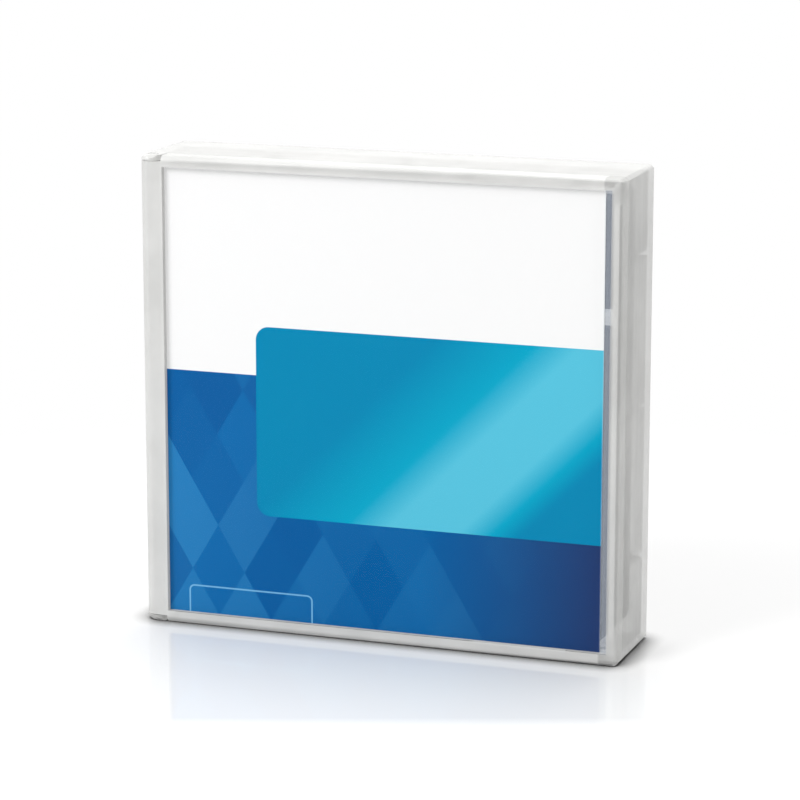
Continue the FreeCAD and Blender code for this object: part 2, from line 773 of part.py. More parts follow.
def countersink(x, y):
    """The hollow that a screw's head sits in, a clearance wider than the head all round."""
    wide = SCREW_HEAD_R + SCREW_CLEAR + SCREW_SUNK
    narrow = SCREW_R + SCREW_CLEAR
    hollow = flat_sided_cone(SCREW_SIDES, wide, narrow, 0, SCREW_HEAD_TOP + SCREW_CLEAR)
    hollow.translate(vec(x, y, 0))
    return hollow


def lower_shell():
    shell = shell_block(0, LOWER_HEIGHT, 0)
    shell = shell.cut(shell_cavity(SHELL_FACE, LOWER_HEIGHT + 1))
    rebate_low = LOWER_HEIGHT - TONGUE_DEPTH - SHELL_SEAM
    shell = shell.cut(shell_ring(RIM_STEP, rebate_low, LOWER_HEIGHT + 1))
    top = LOWER_HEIGHT - SHELL_SEAM
    inner = guard_walls(SHELL_FACE, rebate_low)
    inner += pin_guides(SHELL_FACE, SHELL_FACE + PIN_GUIDE_HEIGHT)
    inner += chip_posts() + switch_ledge()
    inner.append(door_rail(SHELL_FACE, SHELL_FACE + RAIL_HEIGHT))
    seat = REEL_SEAT_HEIGHT + SHELL_FACE
    seat_r = HUB_OPENING_R + REEL_SEAT_WIDTH
    inner.append(flat_sided(REEL_SEAT_SIDES, seat_r, SHELL_FACE, seat, REEL_X, REEL_Y))
    for x, y in SCREWS:
        inner.append(hexagon(BOSS_R, SHELL_FACE, top, x, y))
    shell = joined([shell] + inner)
    cuts = side_cuts()
    cuts.append(rod(HUB_OPENING_R, -1, seat + 1, REEL_X, REEL_Y))
    for x, y in SCREWS:
        cuts.append(flat_sided(SCREW_SIDES, SCREW_R + SCREW_CLEAR, 0, top + 1, x, y))
        cuts.append(countersink(x, y))
    slot_start = SWITCH_Y - SWITCH_PLAY
    cuts.append(
        box(
            INNER_X - 1,
            CART_LENGTH + 1,
            slot_start,
            slot_start + SWITCH_SLOT,
            SWITCH_Z - SWITCH_PLAY,
            SWITCH_Z + SWITCH_TAB_HEIGHT + SWITCH_PLAY,
        )
    )
    cuts.append(chip_board(CHIP_CLEAR))
    return shell.cut(cuts).removeSplitter()


def brake_key(low, high, clear):
    """The post and its two wings that keep the reel lock from turning."""
    half_length = KEY_LENGTH / 2 + clear
    half_width = KEY_WIDTH / 2 + clear
    post = rod(KEY_POST_R + clear, low, high)
    wings = box(-half_length, half_length, -half_width, half_width, low, high)
    return at_reel(joined([post, wings]))


def spring_ribs():
    """Short ribs under the upper shell's face that keep the lock's spring central."""
    ribs = []
    near = BRAKE_SPRING_R + (BRAKE_WIRE + SPRING_RIB) / 2
    half = SPRING_RIB_WIDTH / 2
    rib = box(near, near + SPRING_RIB, -half, half, CEILING - SPRING_RIB, CEILING)
    for k in range(4):
        ribs.append(at_reel(turned(rib, 90 * k)))
    return ribs


def upper_shell():
    shell = shell_block(LOWER_HEIGHT, CART_HEIGHT, CART_HEIGHT)
    shell = shell.cut(shell_cavity(LOWER_HEIGHT - 1, CEILING))
    tongue_low = LOWER_HEIGHT - TONGUE_DEPTH
    inner = [shell_ring(RIM_STEP + SHELL_SEAM, tongue_low, LOWER_HEIGHT + SHELL_FACE)]
    inner += guard_walls(LOWER_HEIGHT, CEILING)
    inner += pin_guides(CEILING - PIN_GUIDE_HEIGHT, CEILING)
    inner.append(door_rail(CEILING - RAIL_HEIGHT, CEILING))
    inner += spring_ribs()
    inner.append(brake_key(KEY_LOW, CEILING, 0))
    stop = DOOR_END + SPRING_SEAT_GAP + DOOR_SPRING_LENGTH
    stop_low = HUB_HIGH + UPPER_FLANGE + DOOR_CLEAR + SPRING_SEAT_GAP
    inner.append(box(stop, stop + SPRING_STOP, RAIL_Y + RAIL_WIDTH / 2, INNER_Y, stop_low, CEILING))
    for x, y in SCREWS:
        inner.append(hexagon(BOSS_R, LOWER_HEIGHT, CEILING, x, y))
    shell = joined([shell] + inner)
    cuts = side_cuts()
    hole_high = SCREW_HEAD_TOP + SCREW_LENGTH + HOLE_BEYOND
    for x, y in SCREWS:
        cuts.append(flat_sided(SCREW_SIDES, SCREW_R + THREAD_CLEAR, 0, hole_high, x, y))
    margin = TOP_FIELD_MARGIN
    field_low = CART_HEIGHT - TOP_FIELD_DEPTH
    cuts.append(
        rounded_box(
            margin,
            CART_LENGTH - margin,
            margin,
            CART_WIDTH - margin,
            field_low,
            CART_HEIGHT + 1,
            TOP_FIELD_CORNER,
        )
    )
    arrow = [
        (ARROW_INSET, REEL_Y),
        (ARROW_INSET + ARROW_SIZE, REEL_Y - ARROW_SIZE),
        (ARROW_INSET + ARROW_SIZE, REEL_Y + ARROW_SIZE),
    ]
    cuts.append(prism(arrow, field_low, CART_HEIGHT + 1))
    return shell.cut(cuts).removeSplitter()


def shell_screws():
    """Four countersunk screws with a six-sided socket, drawn with a few flat sides."""
    screws = []
    for x, y in SCREWS:
        head = flat_sided_cone(SCREW_SIDES, SCREW_HEAD_R, SCREW_R, SCREW_SUNK, SCREW_HEAD_TOP)
        shank_high = SCREW_HEAD_TOP + SCREW_LENGTH
        shank = flat_sided(SCREW_SIDES, SCREW_R, SCREW_HEAD_TOP, shank_high)
        screw = joined([head, shank])
        screw = screw.cut(hexagon(SCREW_SOCKET_R, 0, SCREW_SUNK + SCREW_SOCKET_DEPTH))
        screw.translate(vec(x, y, 0))
        screws.append(screw)
    return Part.makeCompound(screws)


# ---------------------------------------------------------------- door, pin, switch and chip
def access_door():
    """The sliding panel behind the window; its open tail carries the spring's end."""
    low = SHELL_FACE + DOOR_CLEAR
    high = CEILING - DOOR_CLEAR
    y1 = DOOR_Y + DOOR_THICK
    panel = box(DOOR_START, DOOR_END, DOOR_Y, y1, low, high)
    tail_start = DOOR_WINDOW_START + DOOR_WINDOW_LENGTH + DOOR_LAP
    tail_end = DOOR_END - DOOR_LAP
    finger_low = (CART_HEIGHT - FINGER_NOTCH) / 2
    finger_high = finger_low + FINGER_NOTCH
    opening = box(tail_start, tail_end, DOOR_Y - 1, y1 + 1, finger_low, finger_high)
    # A finger's grooves in the outer face.
    grooves = []
    step = DOOR_WINDOW_LENGTH / (DOOR_GROOVES + 1) / 2
    for k in range(DOOR_GROOVES):
        x = DOOR_START + DOOR_LAP + (k + 0.5) * step
        grooves.append(box(x, x + step / 2, y1 - GRIP_DEPTH, y1 + 1, finger_low, finger_high))
    return panel.cut([opening] + grooves).removeSplitter()


def door_spring():
    turns, chords = DOOR_SPRING_TURNS, DOOR_SPRING_CHORDS
    spring = coil(DOOR_SPRING_R, DOOR_WIRE, DOOR_SPRING_LENGTH, turns, chords)
    spring.rotate(vec(0, 0, 0), vec(0, 1, 0), 90)
    y = DOOR_Y + DOOR_THICK / 2
    z = CEILING - DOOR_CLEAR - DOOR_SPRING_R - DOOR_WIRE / 2
    spring.translate(vec(DOOR_END + SPRING_SEAT_GAP / 2, y, z))
    return spring


def leader_pin():
    shank_low = PIN_LOW + PIN_END_THICK
    shank_high = PIN_HIGH - PIN_END_THICK
    profile = [
        (0, PIN_LOW),
        (PIN_END_R, PIN_LOW),
        (PIN_END_R, shank_low),
        (PIN_R, shank_low),
        (PIN_R, shank_high),
        (PIN_END_R, shank_high),
        (PIN_END_R, PIN_HIGH),
        (0, PIN_HIGH),
    ]
    pin = revolved(profile)
    pin.translate(vec(PIN_X, PIN_Y, 0))
    return pin


def tape_end():
    """Where the free tape leaves the pack: the point and its direction to the leader pin."""
    radius = PACK_R + FREE_TAPE_GAP + FREE_TAPE / 2
    dx, dy = PIN_X - REEL_X, PIN_Y - REEL_Y
    distance = math.hypot(dx, dy)
    angle = math.atan2(dy, dx) + math.acos(radius / distance)
    x = REEL_X + radius * math.cos(angle)
    y = REEL_Y + radius * math.sin(angle)
    return x, y, math.sqrt(distance**2 - radius**2)


def along_tape(shape):
    """Turns a shape made along +X from the pin onto the free tape's line."""
    x, y, _ = tape_end()
    shape.rotate(vec(0, 0, 0), vec(0, 0, 1), math.degrees(math.atan2(y - PIN_Y, x - PIN_X)))
    shape.translate(vec(PIN_X, PIN_Y, 0))
    return shape


def leader_tape():
    length = tape_end()[2]
    start = PIN_R + TAPE_BORE_GAP
    return along_tape(box(start, length, -FREE_TAPE / 2, FREE_TAPE / 2, TAPE_LOW, TAPE_HIGH))


def tape_clip():
    low = PIN_LOW + PIN_END_THICK + CLIP_END_GAP
    high = PIN_HIGH - PIN_END_THICK - CLIP_END_GAP
    ring = tube(PIN_R + TAPE_BORE_GAP, CLIP_R, low, high)
    return along_tape(ring.cut(box(0, CLIP_R + 1, -CLIP_SLOT / 2, CLIP_SLOT / 2, low, high)))


def pin_wire(z):
    """A U of square spring wire whose two legs hold one end of the leader pin from both sides."""
    y1 = PIN_Y + PIN_GUIDE_AHEAD - PIN_WIRE
    y0 = y1 - PIN_GUIDE_LENGTH + WIRE_X
    outer, inner = [], []
    for k in range(PIN_WIRE_CHORDS + 1):
        angle = math.pi * k / PIN_WIRE_CHORDS
        for line, radius in ((outer, WIRE_X + PIN_WIRE / 2), (inner, WIRE_X - PIN_WIRE / 2)):
            line.append((PIN_X - radius * math.cos(angle), y0 - radius * math.sin(angle)))
    for line in (outer, inner):
        line.insert(0, (line[0][0], y1))
        line.append((line[-1][0], y1))
    return prism(outer + inner[::-1], z - PIN_WIRE / 2, z + PIN_WIRE / 2)


def pin_springs():
    low = SHELL_FACE + PIN_FLOAT + PIN_WIRE / 2
    return Part.makeCompound([pin_wire(low), pin_wire(CART_HEIGHT - low)])


def write_protect_switch():
    x1 = INNER_X - SWITCH_CLEAR
    low = SWITCH_Z - SWITCH_LAP / 3
    high = SWITCH_Z + SWITCH_TAB_HEIGHT + SWITCH_LAP / 3
    body_end = SWITCH_Y - SWITCH_PLAY + SWITCH_SLOT
    body = box(x1 - SWITCH_BODY, x1, SWITCH_Y - SWITCH_LAP, body_end, low, high)
    tab = box(
        x1 - SWITCH_BODY / 2,
        CART_LENGTH - SWITCH_TAB_SUNK,
        SWITCH_Y,
        SWITCH_Y + SWITCH_TAB,
        SWITCH_Z,
        SWITCH_Z + SWITCH_TAB_HEIGHT,
    )
    return joined([body, tab])


def memory_chip():
    board = chip_board()
    die = box(
        -DIE_SIZE / 2,
        DIE_SIZE / 2,
        CHIP_THICK / 4,
        CHIP_THICK / 2 + DIE_THICK,
        SHELL_FACE + CHIP_HEIGHT / 2,
        SHELL_FACE + CHIP_HEIGHT / 2 + DIE_SIZE,
    )
    die = turned(die, 45)
    die.translate(vec(CART_LENGTH - CHIP_INSET, CHIP_INSET, 0))
    return joined([board, die])


# ---------------------------------------------------------------- the reel
def arm_angles():
    return [0, 120, 240]


def near_arm(angle, half):
    return any(abs((angle - arm + 180) % 360 - 180) < half for arm in arm_angles())


def toothed_ring(profile_tooth, count, offset, skip_half):
    """Teeth in a ring, left out within skip_half degrees of each of the pad's arms."""
    teeth = []
    for k in range(count):
        angle = k * 360 / count + offset
        if not near_arm(angle, skip_half):
            teeth.append(turned(profile_tooth, angle))
    return teeth


def reel_hub():
    """Hub, lower flange, drive teeth under the web and tall lock teeth over it."""
    flange_top = HUB_LOW + LOWER_FLANGE
    body = revolved(
        [
            (0, HUB_LOW),
            (FLANGE_R, HUB_LOW),
            (FLANGE_R, flange_top),
            (HUB_R, flange_top),
            (HUB_R, HUB_HIGH),
            (HUB_IN, HUB_HIGH),
            (HUB_IN, WEB_TOP),
            (0, WEB_TOP),
        ]
    )
    arm_half = math.degrees(math.atan((ARM_WIDTH / 2 + ARM_CLEAR) / LOCK_TEETH_IN))
    lock = tooth(
        LOCK_TEETH_IN,
        LOCK_TEETH_OUT,
        WEB_TOP - TOOTH_ROOT,
        LOCK_ROOT,
        LOCK_ROOT + LOCK_TOOTH_HEIGHT,
        LOCK_TOOTH_BASE,
        LOCK_TOOTH_TIP,
    )
    half_pitch = 180 / LOCK_TEETH
    lock_teeth = toothed_ring(lock, LOCK_TEETH, half_pitch, arm_half + half_pitch)
    drive = tooth(
        DRIVE_TEETH_IN,
        DRIVE_TEETH_OUT,
        HUB_LOW + TOOTH_ROOT,
        HUB_LOW,
        TEETH_LOW,
        DRIVE_TOOTH_BASE,
        DRIVE_TOOTH_TIP,
    )
    leg_half = math.degrees(math.atan((ARM_WIDTH / 2 + LEG_CLEAR) / LEG_IN))
    drive_teeth = toothed_ring(drive, DRIVE_TEETH, 0, leg_half + 180 / DRIVE_TEETH)
    hub = joined([body] + lock_teeth + drive_teeth)
    slot = box(
        LEG_IN - LEG_CLEAR,
        LEG_OUT + LEG_CLEAR,
        -ARM_WIDTH / 2 - LEG_CLEAR,
        ARM_WIDTH / 2 + LEG_CLEAR,
        0,
        WEB_TOP + 1,
    )
    return at_reel(hub.cut([turned(slot, arm) for arm in arm_angles()]))


def upper_flange():
    return tube(HUB_IN, FLANGE_R, HUB_HIGH, HUB_HIGH + UPPER_FLANGE, REEL_X, REEL_Y)


def tape_pack():
    return tube(HUB_R + TAPE_BORE_GAP, PACK_R, TAPE_LOW, TAPE_HIGH, REEL_X, REEL_Y)


def drive_plate():
    return tube(PLATE_BORE, PLATE_R, HUB_LOW - PLATE_THICK, HUB_LOW, REEL_X, REEL_Y)


def release_pad():
    """A disc with three arms, each with a leg that reaches down among the drive teeth."""
    parts = [rod(PAD_R, PAD_LOW, PAD_HIGH)]
    for angle in arm_angles():
        half = ARM_WIDTH / 2
        arm = box(0, LEG_OUT, -half, half, PAD_LOW, PAD_HIGH)
        leg = box(LEG_IN, LEG_OUT, -half, half, TEETH_LOW + LEG_RECESS, PAD_HIGH)
        parts += [turned(arm, angle), turned(leg, angle)]
    return at_reel(joined(parts))


def brake_button():
    """The reel lock: a toothed disc with a keyed sleeve that slides on the upper shell's post."""
    parts = [
        rod(BRAKE_R, BRAKE_LOW, BRAKE_TOP),
        hexagon(BRAKE_NOSE_R, PAD_HIGH + PAD_FLOAT, BRAKE_LOW),
        rod(SLEEVE_R, BRAKE_TOP, BRAKE_TOP + SLEEVE_HEIGHT),
    ]
    lock = tooth(
        LOCK_TEETH_IN,
        LOCK_TEETH_OUT,
        BRAKE_LOW + TOOTH_ROOT,
        BRAKE_LOW,
        BRAKE_LOW - LOCK_TOOTH_HEIGHT,
        LOCK_TOOTH_BASE,
        LOCK_TOOTH_TIP,
    )
    parts += toothed_ring(lock, LOCK_TEETH, 0, 0)
    button = at_reel(joined(parts))
    return button.cut(brake_key(BORE_LOW, CART_HEIGHT, KEY_CLEAR))


def brake_spring():
    length = CEILING - BRAKE_TOP - 2 * SPRING_SEAT_GAP
    spring = coil(BRAKE_SPRING_R, BRAKE_WIRE, length, BRAKE_TURNS, BRAKE_CHORDS)
    spring.translate(vec(REEL_X, REEL_Y, BRAKE_TOP + SPRING_SEAT_GAP))
    return spring


# ---------------------------------------------------------------- build
CASE_NODES = {
    "case_base": case_base,
    "case_lid": case_lid,
    "inlay_card": inlay_card,
}

CARTRIDGE_NODES = {
    "lower_shell": lower_shell,
    "upper_shell": upper_shell,
    "shell_screws": shell_screws,
    "access_door": access_door,
    "door_spring": door_spring,
    "leader_pin": leader_pin,
    "tape_clip": tape_clip,
    "pin_springs": pin_springs,
    "leader_tape": leader_tape,
    "write_protect_switch": write_protect_switch,
    "memory_chip": memory_chip,
    "reel_hub": reel_hub,
    "upper_flange": upper_flange,
    "tape_pack": tape_pack,
    "drive_plate": drive_plate,
    "brake_button": brake_button,
    "brake_spring": brake_spring,
    "release_pad": release_pad,
}


def main():
    os.makedirs("parts", exist_ok=True)
    shapes = {name: make() for name, make in CASE_NODES.items()}
    for name, make in CARTRIDGE_NODES.items():
        shapes[name] = into_case(make())
    for name, shape in shapes.items():
        shape.exportStep(f"parts/{name}.step")
        print(f"{name}: {len(shape.Solids)} solids, {shape.Volume:.1f} mm3, valid {shape.isValid()}")


main()
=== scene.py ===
"""A half-inch data tape cartridge in its hinged clear case: finishes, fine pieces and the stage."""

import json
import math

import bmesh
import bpy
from bpy.props import FloatProperty, FloatVectorProperty, IntProperty, PointerProperty
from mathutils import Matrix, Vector


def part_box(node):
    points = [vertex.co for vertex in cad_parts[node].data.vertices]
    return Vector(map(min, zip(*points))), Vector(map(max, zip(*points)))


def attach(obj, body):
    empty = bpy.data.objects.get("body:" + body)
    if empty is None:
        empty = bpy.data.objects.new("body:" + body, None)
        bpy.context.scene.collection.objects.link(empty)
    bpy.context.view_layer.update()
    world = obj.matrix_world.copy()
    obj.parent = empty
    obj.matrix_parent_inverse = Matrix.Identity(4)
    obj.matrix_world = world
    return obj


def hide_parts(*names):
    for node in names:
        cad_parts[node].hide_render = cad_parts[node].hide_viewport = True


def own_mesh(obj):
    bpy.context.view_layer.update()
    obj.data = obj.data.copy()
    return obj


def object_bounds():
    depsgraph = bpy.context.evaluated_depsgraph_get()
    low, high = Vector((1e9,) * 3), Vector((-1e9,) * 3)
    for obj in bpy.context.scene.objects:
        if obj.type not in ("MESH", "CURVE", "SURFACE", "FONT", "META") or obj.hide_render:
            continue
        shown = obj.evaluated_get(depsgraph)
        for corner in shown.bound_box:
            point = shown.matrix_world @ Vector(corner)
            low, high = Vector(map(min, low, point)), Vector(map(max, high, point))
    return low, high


bl_info = {
    "name": "Cased Data Tape Cartridge",
    "version": (1, 0, 0),
    "blender": (4, 5, 0),
    "location": "3D View > Sidebar > Tape Case",
    "description": "Finishes a data tape cartridge in its storage case, and lights it",
    "category": "Object",
}

MM = 0.001
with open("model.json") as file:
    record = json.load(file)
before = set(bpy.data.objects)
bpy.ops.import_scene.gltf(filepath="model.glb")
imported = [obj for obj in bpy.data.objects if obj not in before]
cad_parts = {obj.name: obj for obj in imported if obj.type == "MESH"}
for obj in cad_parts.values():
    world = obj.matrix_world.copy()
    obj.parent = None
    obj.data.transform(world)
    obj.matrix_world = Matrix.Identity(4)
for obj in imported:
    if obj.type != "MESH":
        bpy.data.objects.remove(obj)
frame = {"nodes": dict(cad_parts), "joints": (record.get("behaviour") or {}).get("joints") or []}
CAD_BOX = [list(corner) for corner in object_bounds()]


# ---------------------------------------------------------------- sizes read from the frame
def lies(node):
    """A node's lowest and highest corners in millimetres."""
    low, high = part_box(node)
    return low / MM, high / MM


CARD_LOW, CARD_HIGH = lies("inlay_card")
LID_LOW, LID_HIGH = lies("case_lid")
PACK_LOW, PACK_HIGH = lies("tape_pack")
REEL = (PACK_LOW + PACK_HIGH) / 2
MERGE_WITHIN = 1e-6  # metres, under which two points are one
SHARP_FROM = math.radians(30)  # edges that turn more than this stay sharp

# The lid's clear parts and the card's print, in millimetres.
PANEL_THICK = 1.35  # the lid's front wall, from its outer face
LIP_LEFT = LID_HIGH.x - 2.65  # the side lip's inner face, where the lid turns frosted
RUN_OFF = 20.0  # how far the teal panel is drawn past the card's edge
BOX_CORNER, BOX_LINE = 1.4, 0.36  # the outlined box's round corners and its line
BEAM_CREST = 43.0  # right minus up along the light beam's crest
BEAM_BEFORE, BEAM_PAST = 46.0, 18.0  # where the beam starts and ends beside its crest
CORNER_CHORDS = 4  # in a round corner of the card

# The memory chip's board, in millimetres.
TRACK, TRACK_TURNS = 0.55, 3  # pitch and number of the antenna's turns
DIE_RUN, DIE_RISE, DIE_DROP = 1.55, 1.5, 1.45  # half width, half height, below the middle

PIN_TURN_CHORDS = 24  # in a leader pin spring's half turn

# Where each softbox hangs in metres, its width in metres and its power in watts.
LAMPS = {
    "key_softbox": ((-0.8, -1.1, 1.0), 0.8, 16.6),
    "top_softbox": ((-0.1, 0.4, 1.25), 0.8, 10.5),
    "side_softbox": ((1.3, -0.3, 0.9), 0.8, 6.0),
}
WORLD_LIGHT = 0.5  # strength of the even light, where 1 is white

FLOOR_REACH = 6.0  # metres from the middle to each side
SEEN_WHITE = 0.82  # the floor's paleness to the eye, beside the object
THROWN_WHITE = 0.48  # the same for the light that it throws up
CONTACT_SHADOW_REACH = 5.0  # millimetres over which the painted shadow at the object's foot fades
CONTACT_SHADOW_DEPTH = 1.6  # how fast that painted shadow darkens towards the object
# The lift to white: its share at the object, and in millimetres where it grows and how far.
LIFT_NEAR, LIFT_START, LIFT_RUN = 0.15, 70.0, 160.0
# The polish: its share, and in millimetres where it ends in front and how softly.
POLISH, POLISH_EDGE, POLISH_FADE = 0.18, 71.0, 6.0

VIEW_TURN, VIEW_RISE = math.radians(19.8), math.radians(12.25)
VIEW_REACH = 0.75  # metres from the object's middle
VIEW_LENS = 147.2  # millimetres, on a sensor 36 mm wide
VIEW_SHIFT = (0.0073, -0.0037)  # shares of the frame, to the right and up


def object_middle():
    """The middle of the object's box, in metres."""
    low, high = (Vector(corner) for corner in CAD_BOX)
    return (low + high) / 2


def travel(joint):
    """How far a sliding joint goes, in metres."""
    shortest, longest = next(j for j in frame["joints"] if j["name"] == joint)["range_m"]
    return longest - shortest


def plain(red, green, blue):
    """A colour given in 0 to 255 display values, as the linear values that shaders take."""
    values = []
    for value in (red, green, blue):
        share = value / 255
        linear = share / 12.92 if share <= 0.04045 else ((share + 0.055) / 1.055) ** 2.4
        values.append(linear)
    return tuple(values)


def colour(name, description, default):
    return FloatVectorProperty(
        name=name, description=description, subtype="COLOR", size=3, min=0, max=1, default=default
    )


def length(name, description, default):
    """A size in millimetres."""
    return FloatProperty(name=name, description=description, min=0, default=default)


def count(name, description, default, least):
    return IntProperty(name=name, description=description, min=least, default=default)


class TapeCaseSizes(bpy.types.PropertyGroup):
    card_gap: length("Card gap", "Air between the card and the clear panel", 0.03)
    card_corner: length("Card corner", "Radius of the card's corners", 0.6)
    field_top: length("Blue field top", "From the card's foot to the head of the blue field", 57.9)
    panel_left: length("Panel inset", "From the card's left edge to the teal panel", 22.8)
    panel_low: length("Panel foot", "From the card's foot to the teal panel's lower edge", 24.9)
    panel_high: length("Panel head", "From the card's foot to the teal panel's upper edge", 69.3)
    panel_corner: length("Panel corner", "Radius of the teal panel's corners", 3.2)
    box_left: length("Box inset", "From the card's left edge to the outlined box", 5.5)
    box_width: length("Box width", "Width of the outlined box", 30.9)
    box_high: length("Box head", "From the card's foot to the outlined box's upper edge", 6.9)
    cell: length("Diamond", "Width of a small diamond in the blue field", 13.0)
    door_wire: length("Door spring wire", "Thickness of the door spring's wire", 0.26)
    door_turns: count("Door spring turns", "Turns of the door spring", 26, 3)
    lock_wire: length("Lock spring wire", "Thickness of the reel lock spring's wire", 0.9)
    lock_turns: count("Lock spring turns", "Turns of the reel lock's spring", 5, 3)
    pin_wire: length("Pin spring wire", "Thickness of the leader pin springs' wire", 0.5)
    wire_sides: count("Wire sides", "Flat sides of a spring's wire", 10, 3)
    turn_steps: count("Turn steps", "Chords in a spring's turn", 32, 6)
    screw_shank: length("Screw shank", "Radius of a shell screw's shank", 1.0)
    screw_head: length("Screw head", "Height of a shell screw's countersunk head", 1.4)
    socket_radius: length("Screw socket", "Radius across the corners of a screw's socket", 0.9)
    socket_depth: length("Socket depth", "Depth of a screw's socket", 0.7)
    screw_sides: count("Screw sides", "Sides that a screw's round head is drawn with", 48, 8)


class TapeCaseColours(bpy.types.PropertyGroup):
    clear_case: colour("Case", "Frosted clear plastic", plain(243, 243, 241))
    clear_cool: colour("Case, cool", "Clear plastic over the dark cartridge", plain(229, 239, 255))
    card_white: colour("Card", "White print ground of the card", plain(252, 252, 252))
    card_back: colour("Card back", "Uncoated back and edges of the card", plain(236, 235, 230))
    field_light: colour("Field, light", "Blue field at the hinge side", plain(18, 110, 178))
    field_deep: colour("Field, deep", "Blue field in the middle", plain(4, 100, 167))
    field_dark: colour("Field, dark", "Blue field at the opening side", plain(38, 58, 108))
    cell_pale: colour("Diamond, pale", "Palest diamonds of the blue field", plain(66, 156, 212))
    cell_deep: colour("Diamond, deep", "Deepest diamonds of the blue field", plain(0, 70, 142))
    box_line: colour("Box line", "Outline of the box at the card's foot", plain(132, 200, 240))
    panel_teal: colour("Panel", "Teal panel", plain(3, 138, 184))
    panel_bright: colour("Panel, bright", "Teal panel beside the beam", plain(3, 168, 204))
    panel_sheen: colour("Panel sheen", "Light beam across the teal panel", plain(90, 199, 226))
    shell: colour("Shells", "Charcoal cartridge plastic", plain(46, 47, 50))
    switch: colour("Switch", "Write-protect switch", plain(176, 48, 36))
    tape: colour("Tape", "Wound tape", plain(42, 34, 30))
    steel: colour("Steel", "Plain steel", plain(188, 189, 190))
    reel: colour("Reel", "Reel plastic", plain(222, 221, 216))
    board: colour("Chip board", "Memory chip's board", plain(24, 84, 52))
    copper: colour("Copper", "Antenna loop on the chip's board", plain(202, 128, 84))
    floor: colour("Floor", "Plain pale floor", (1.0, 1.0, 1.0))


def sizes():
    return bpy.context.scene.tape_case_sizes


def colours():
    return bpy.context.scene.tape_case_colours


# ---------------------------------------------------------------- shader maths
class Wire:
    """A shader socket that takes part in sums: each sum adds its Math node."""

    def __init__(self, finish, socket):
        self.finish = finish
        self.socket = socket

    def sum(self, operation, *values):
        return self.finish.maths(operation, *values)

    def __add__(self, other):
        return self.sum("ADD", self, other)

    def __radd__(self, other):
        return self.sum("ADD", other, self)

    def __sub__(self, other):
        return self.sum("SUBTRACT", self, other)

    def __rsub__(self, other):
        return self.sum("SUBTRACT", other, self)

    def __mul__(self, other):
        return self.sum("MULTIPLY", self, other)

    def __rmul__(self, other):
        return self.sum("MULTIPLY", other, self)

    def __truediv__(self, other):
        return self.sum("DIVIDE", self, other)

    def __rtruediv__(self, other):
        return self.sum("DIVIDE", other, self)


class Finish:
    """A material or a world under construction: its node tree and the sums on it."""

    def __init__(self, name, kind="materials"):
        self.owner = getattr(bpy.data, kind).new(name)
        self.owner.use_nodes = True
        self.tree = self.owner.node_tree
        self.tree.nodes.clear()

    def add(self, kind, settings=None, sockets=None, out=0):
        """A node of one type, with its settings first and then its sockets' values or links."""
        node = self.tree.nodes.new(kind)
        for key, value in (settings or {}).items():
            if key == "stops":
                self.set_stops(node.color_ramp.elements, value)
            else:
                setattr(node, key, value)
        for key, value in (sockets or {}).items():
            self.put(node.inputs[key], value)
        return Wire(self, node.outputs[out]) if node.outputs else None

    @staticmethod
    def set_stops(elements, stops):
        while len(elements) < len(stops):
            elements.new(1.0)
        for element, (position, value) in zip(elements, stops):
            element.position = position
            element.color = (*value, 1.0)

    def put(self, socket, value):
        if isinstance(value, Wire):
            self.tree.links.new(value.socket, socket)
        elif socket.type == "RGBA" and len(value) == 3:
            socket.default_value = (*value, 1.0)
        else:
            socket.default_value = value

    def maths(self, operation, *values, clamp=False):
        sockets = dict(enumerate(values))
        return self.add("ShaderNodeMath", {"operation": operation, "use_clamp": clamp}, sockets)

    def vectors(self, operation, *values, out=0):
        sockets = dict(enumerate(values))
        return self.add("ShaderNodeVectorMath", {"operation": operation}, sockets, out)

    def vector(self, x, y, z):
        return self.add("ShaderNodeCombineXYZ", None, {"X": x, "Y": y, "Z": z})

    def blend(self, share, first, second):
        """From the first colour to the second by a share."""
        settings = {"data_type": "RGBA", "clamp_factor": True}
        # A Mix node has sockets for each type of value: 6, 7 and output 2 are the colours'.
        return self.add("ShaderNodeMix", settings, {0: share, 6: first, 7: second}, 2)

    def layer(self, share, first, second):
        """From the first shader to the second by a share."""
        return self.add("ShaderNodeMixShader", None, {0: share, 1: first, 2: second})

    def place(self):
        """Where a point lies in the frame, in millimetres: a vector and its three parts."""
        spot = self.add("ShaderNodeTexCoord", out="Object")
        sockets = {0: spot, "Scale": 1 / MM}
        spot = self.add("ShaderNodeVectorMath", {"operation": "SCALE"}, sockets)
        split = self.add("ShaderNodeSeparateXYZ", None, {0: spot})
        return spot, *(Wire(self, part) for part in split.socket.node.outputs)

    def past(self, value, edge, soft=0.05):
        """0 below an edge and 1 above it, with a soft change across it."""
        return self.maths("ADD", (value - edge) / soft, 0.5, clamp=True)

    def within(self, value, low, high, soft=0.05):
        return self.past(value, low, soft) * (1 - self.past(value, high, soft))

    def noise(self, spot, scale, detail=2.0, roughness=0.5):
        """Cloudy noise between 0 and 1, in cells of about 1 / scale millimetres."""
        return self.add(
            "ShaderNodeTexNoise",
            {"noise_dimensions": "3D"},
            {"Vector": spot, "Scale": scale, "Detail": detail, "Roughness": roughness},
        )

    def bumped(self, height, strength, distance):
        sockets = {"Height": height, "Strength": strength, "Distance": distance}
        return self.add("ShaderNodeBump", None, sockets)

    def surface(self, others=None, **sockets):
        """Ends the material in one Principled surface."""
        names = {key.replace("_", " "): value for key, value in sockets.items()}
        names.update(others or {})
        skin = self.add("ShaderNodeBsdfPrincipled", None, names)
        self.add("ShaderNodeOutputMaterial", None, {"Surface": skin})
        return self.owner


# ---------------------------------------------------------------- pieces
def dress(node, material):
    """Gives a carried-over node its finish."""
    piece = frame["nodes"][node]
    slots = piece.material_slots
    if not slots:
        piece.data.materials.append(material)
    for slot in slots:
        slot.material = material


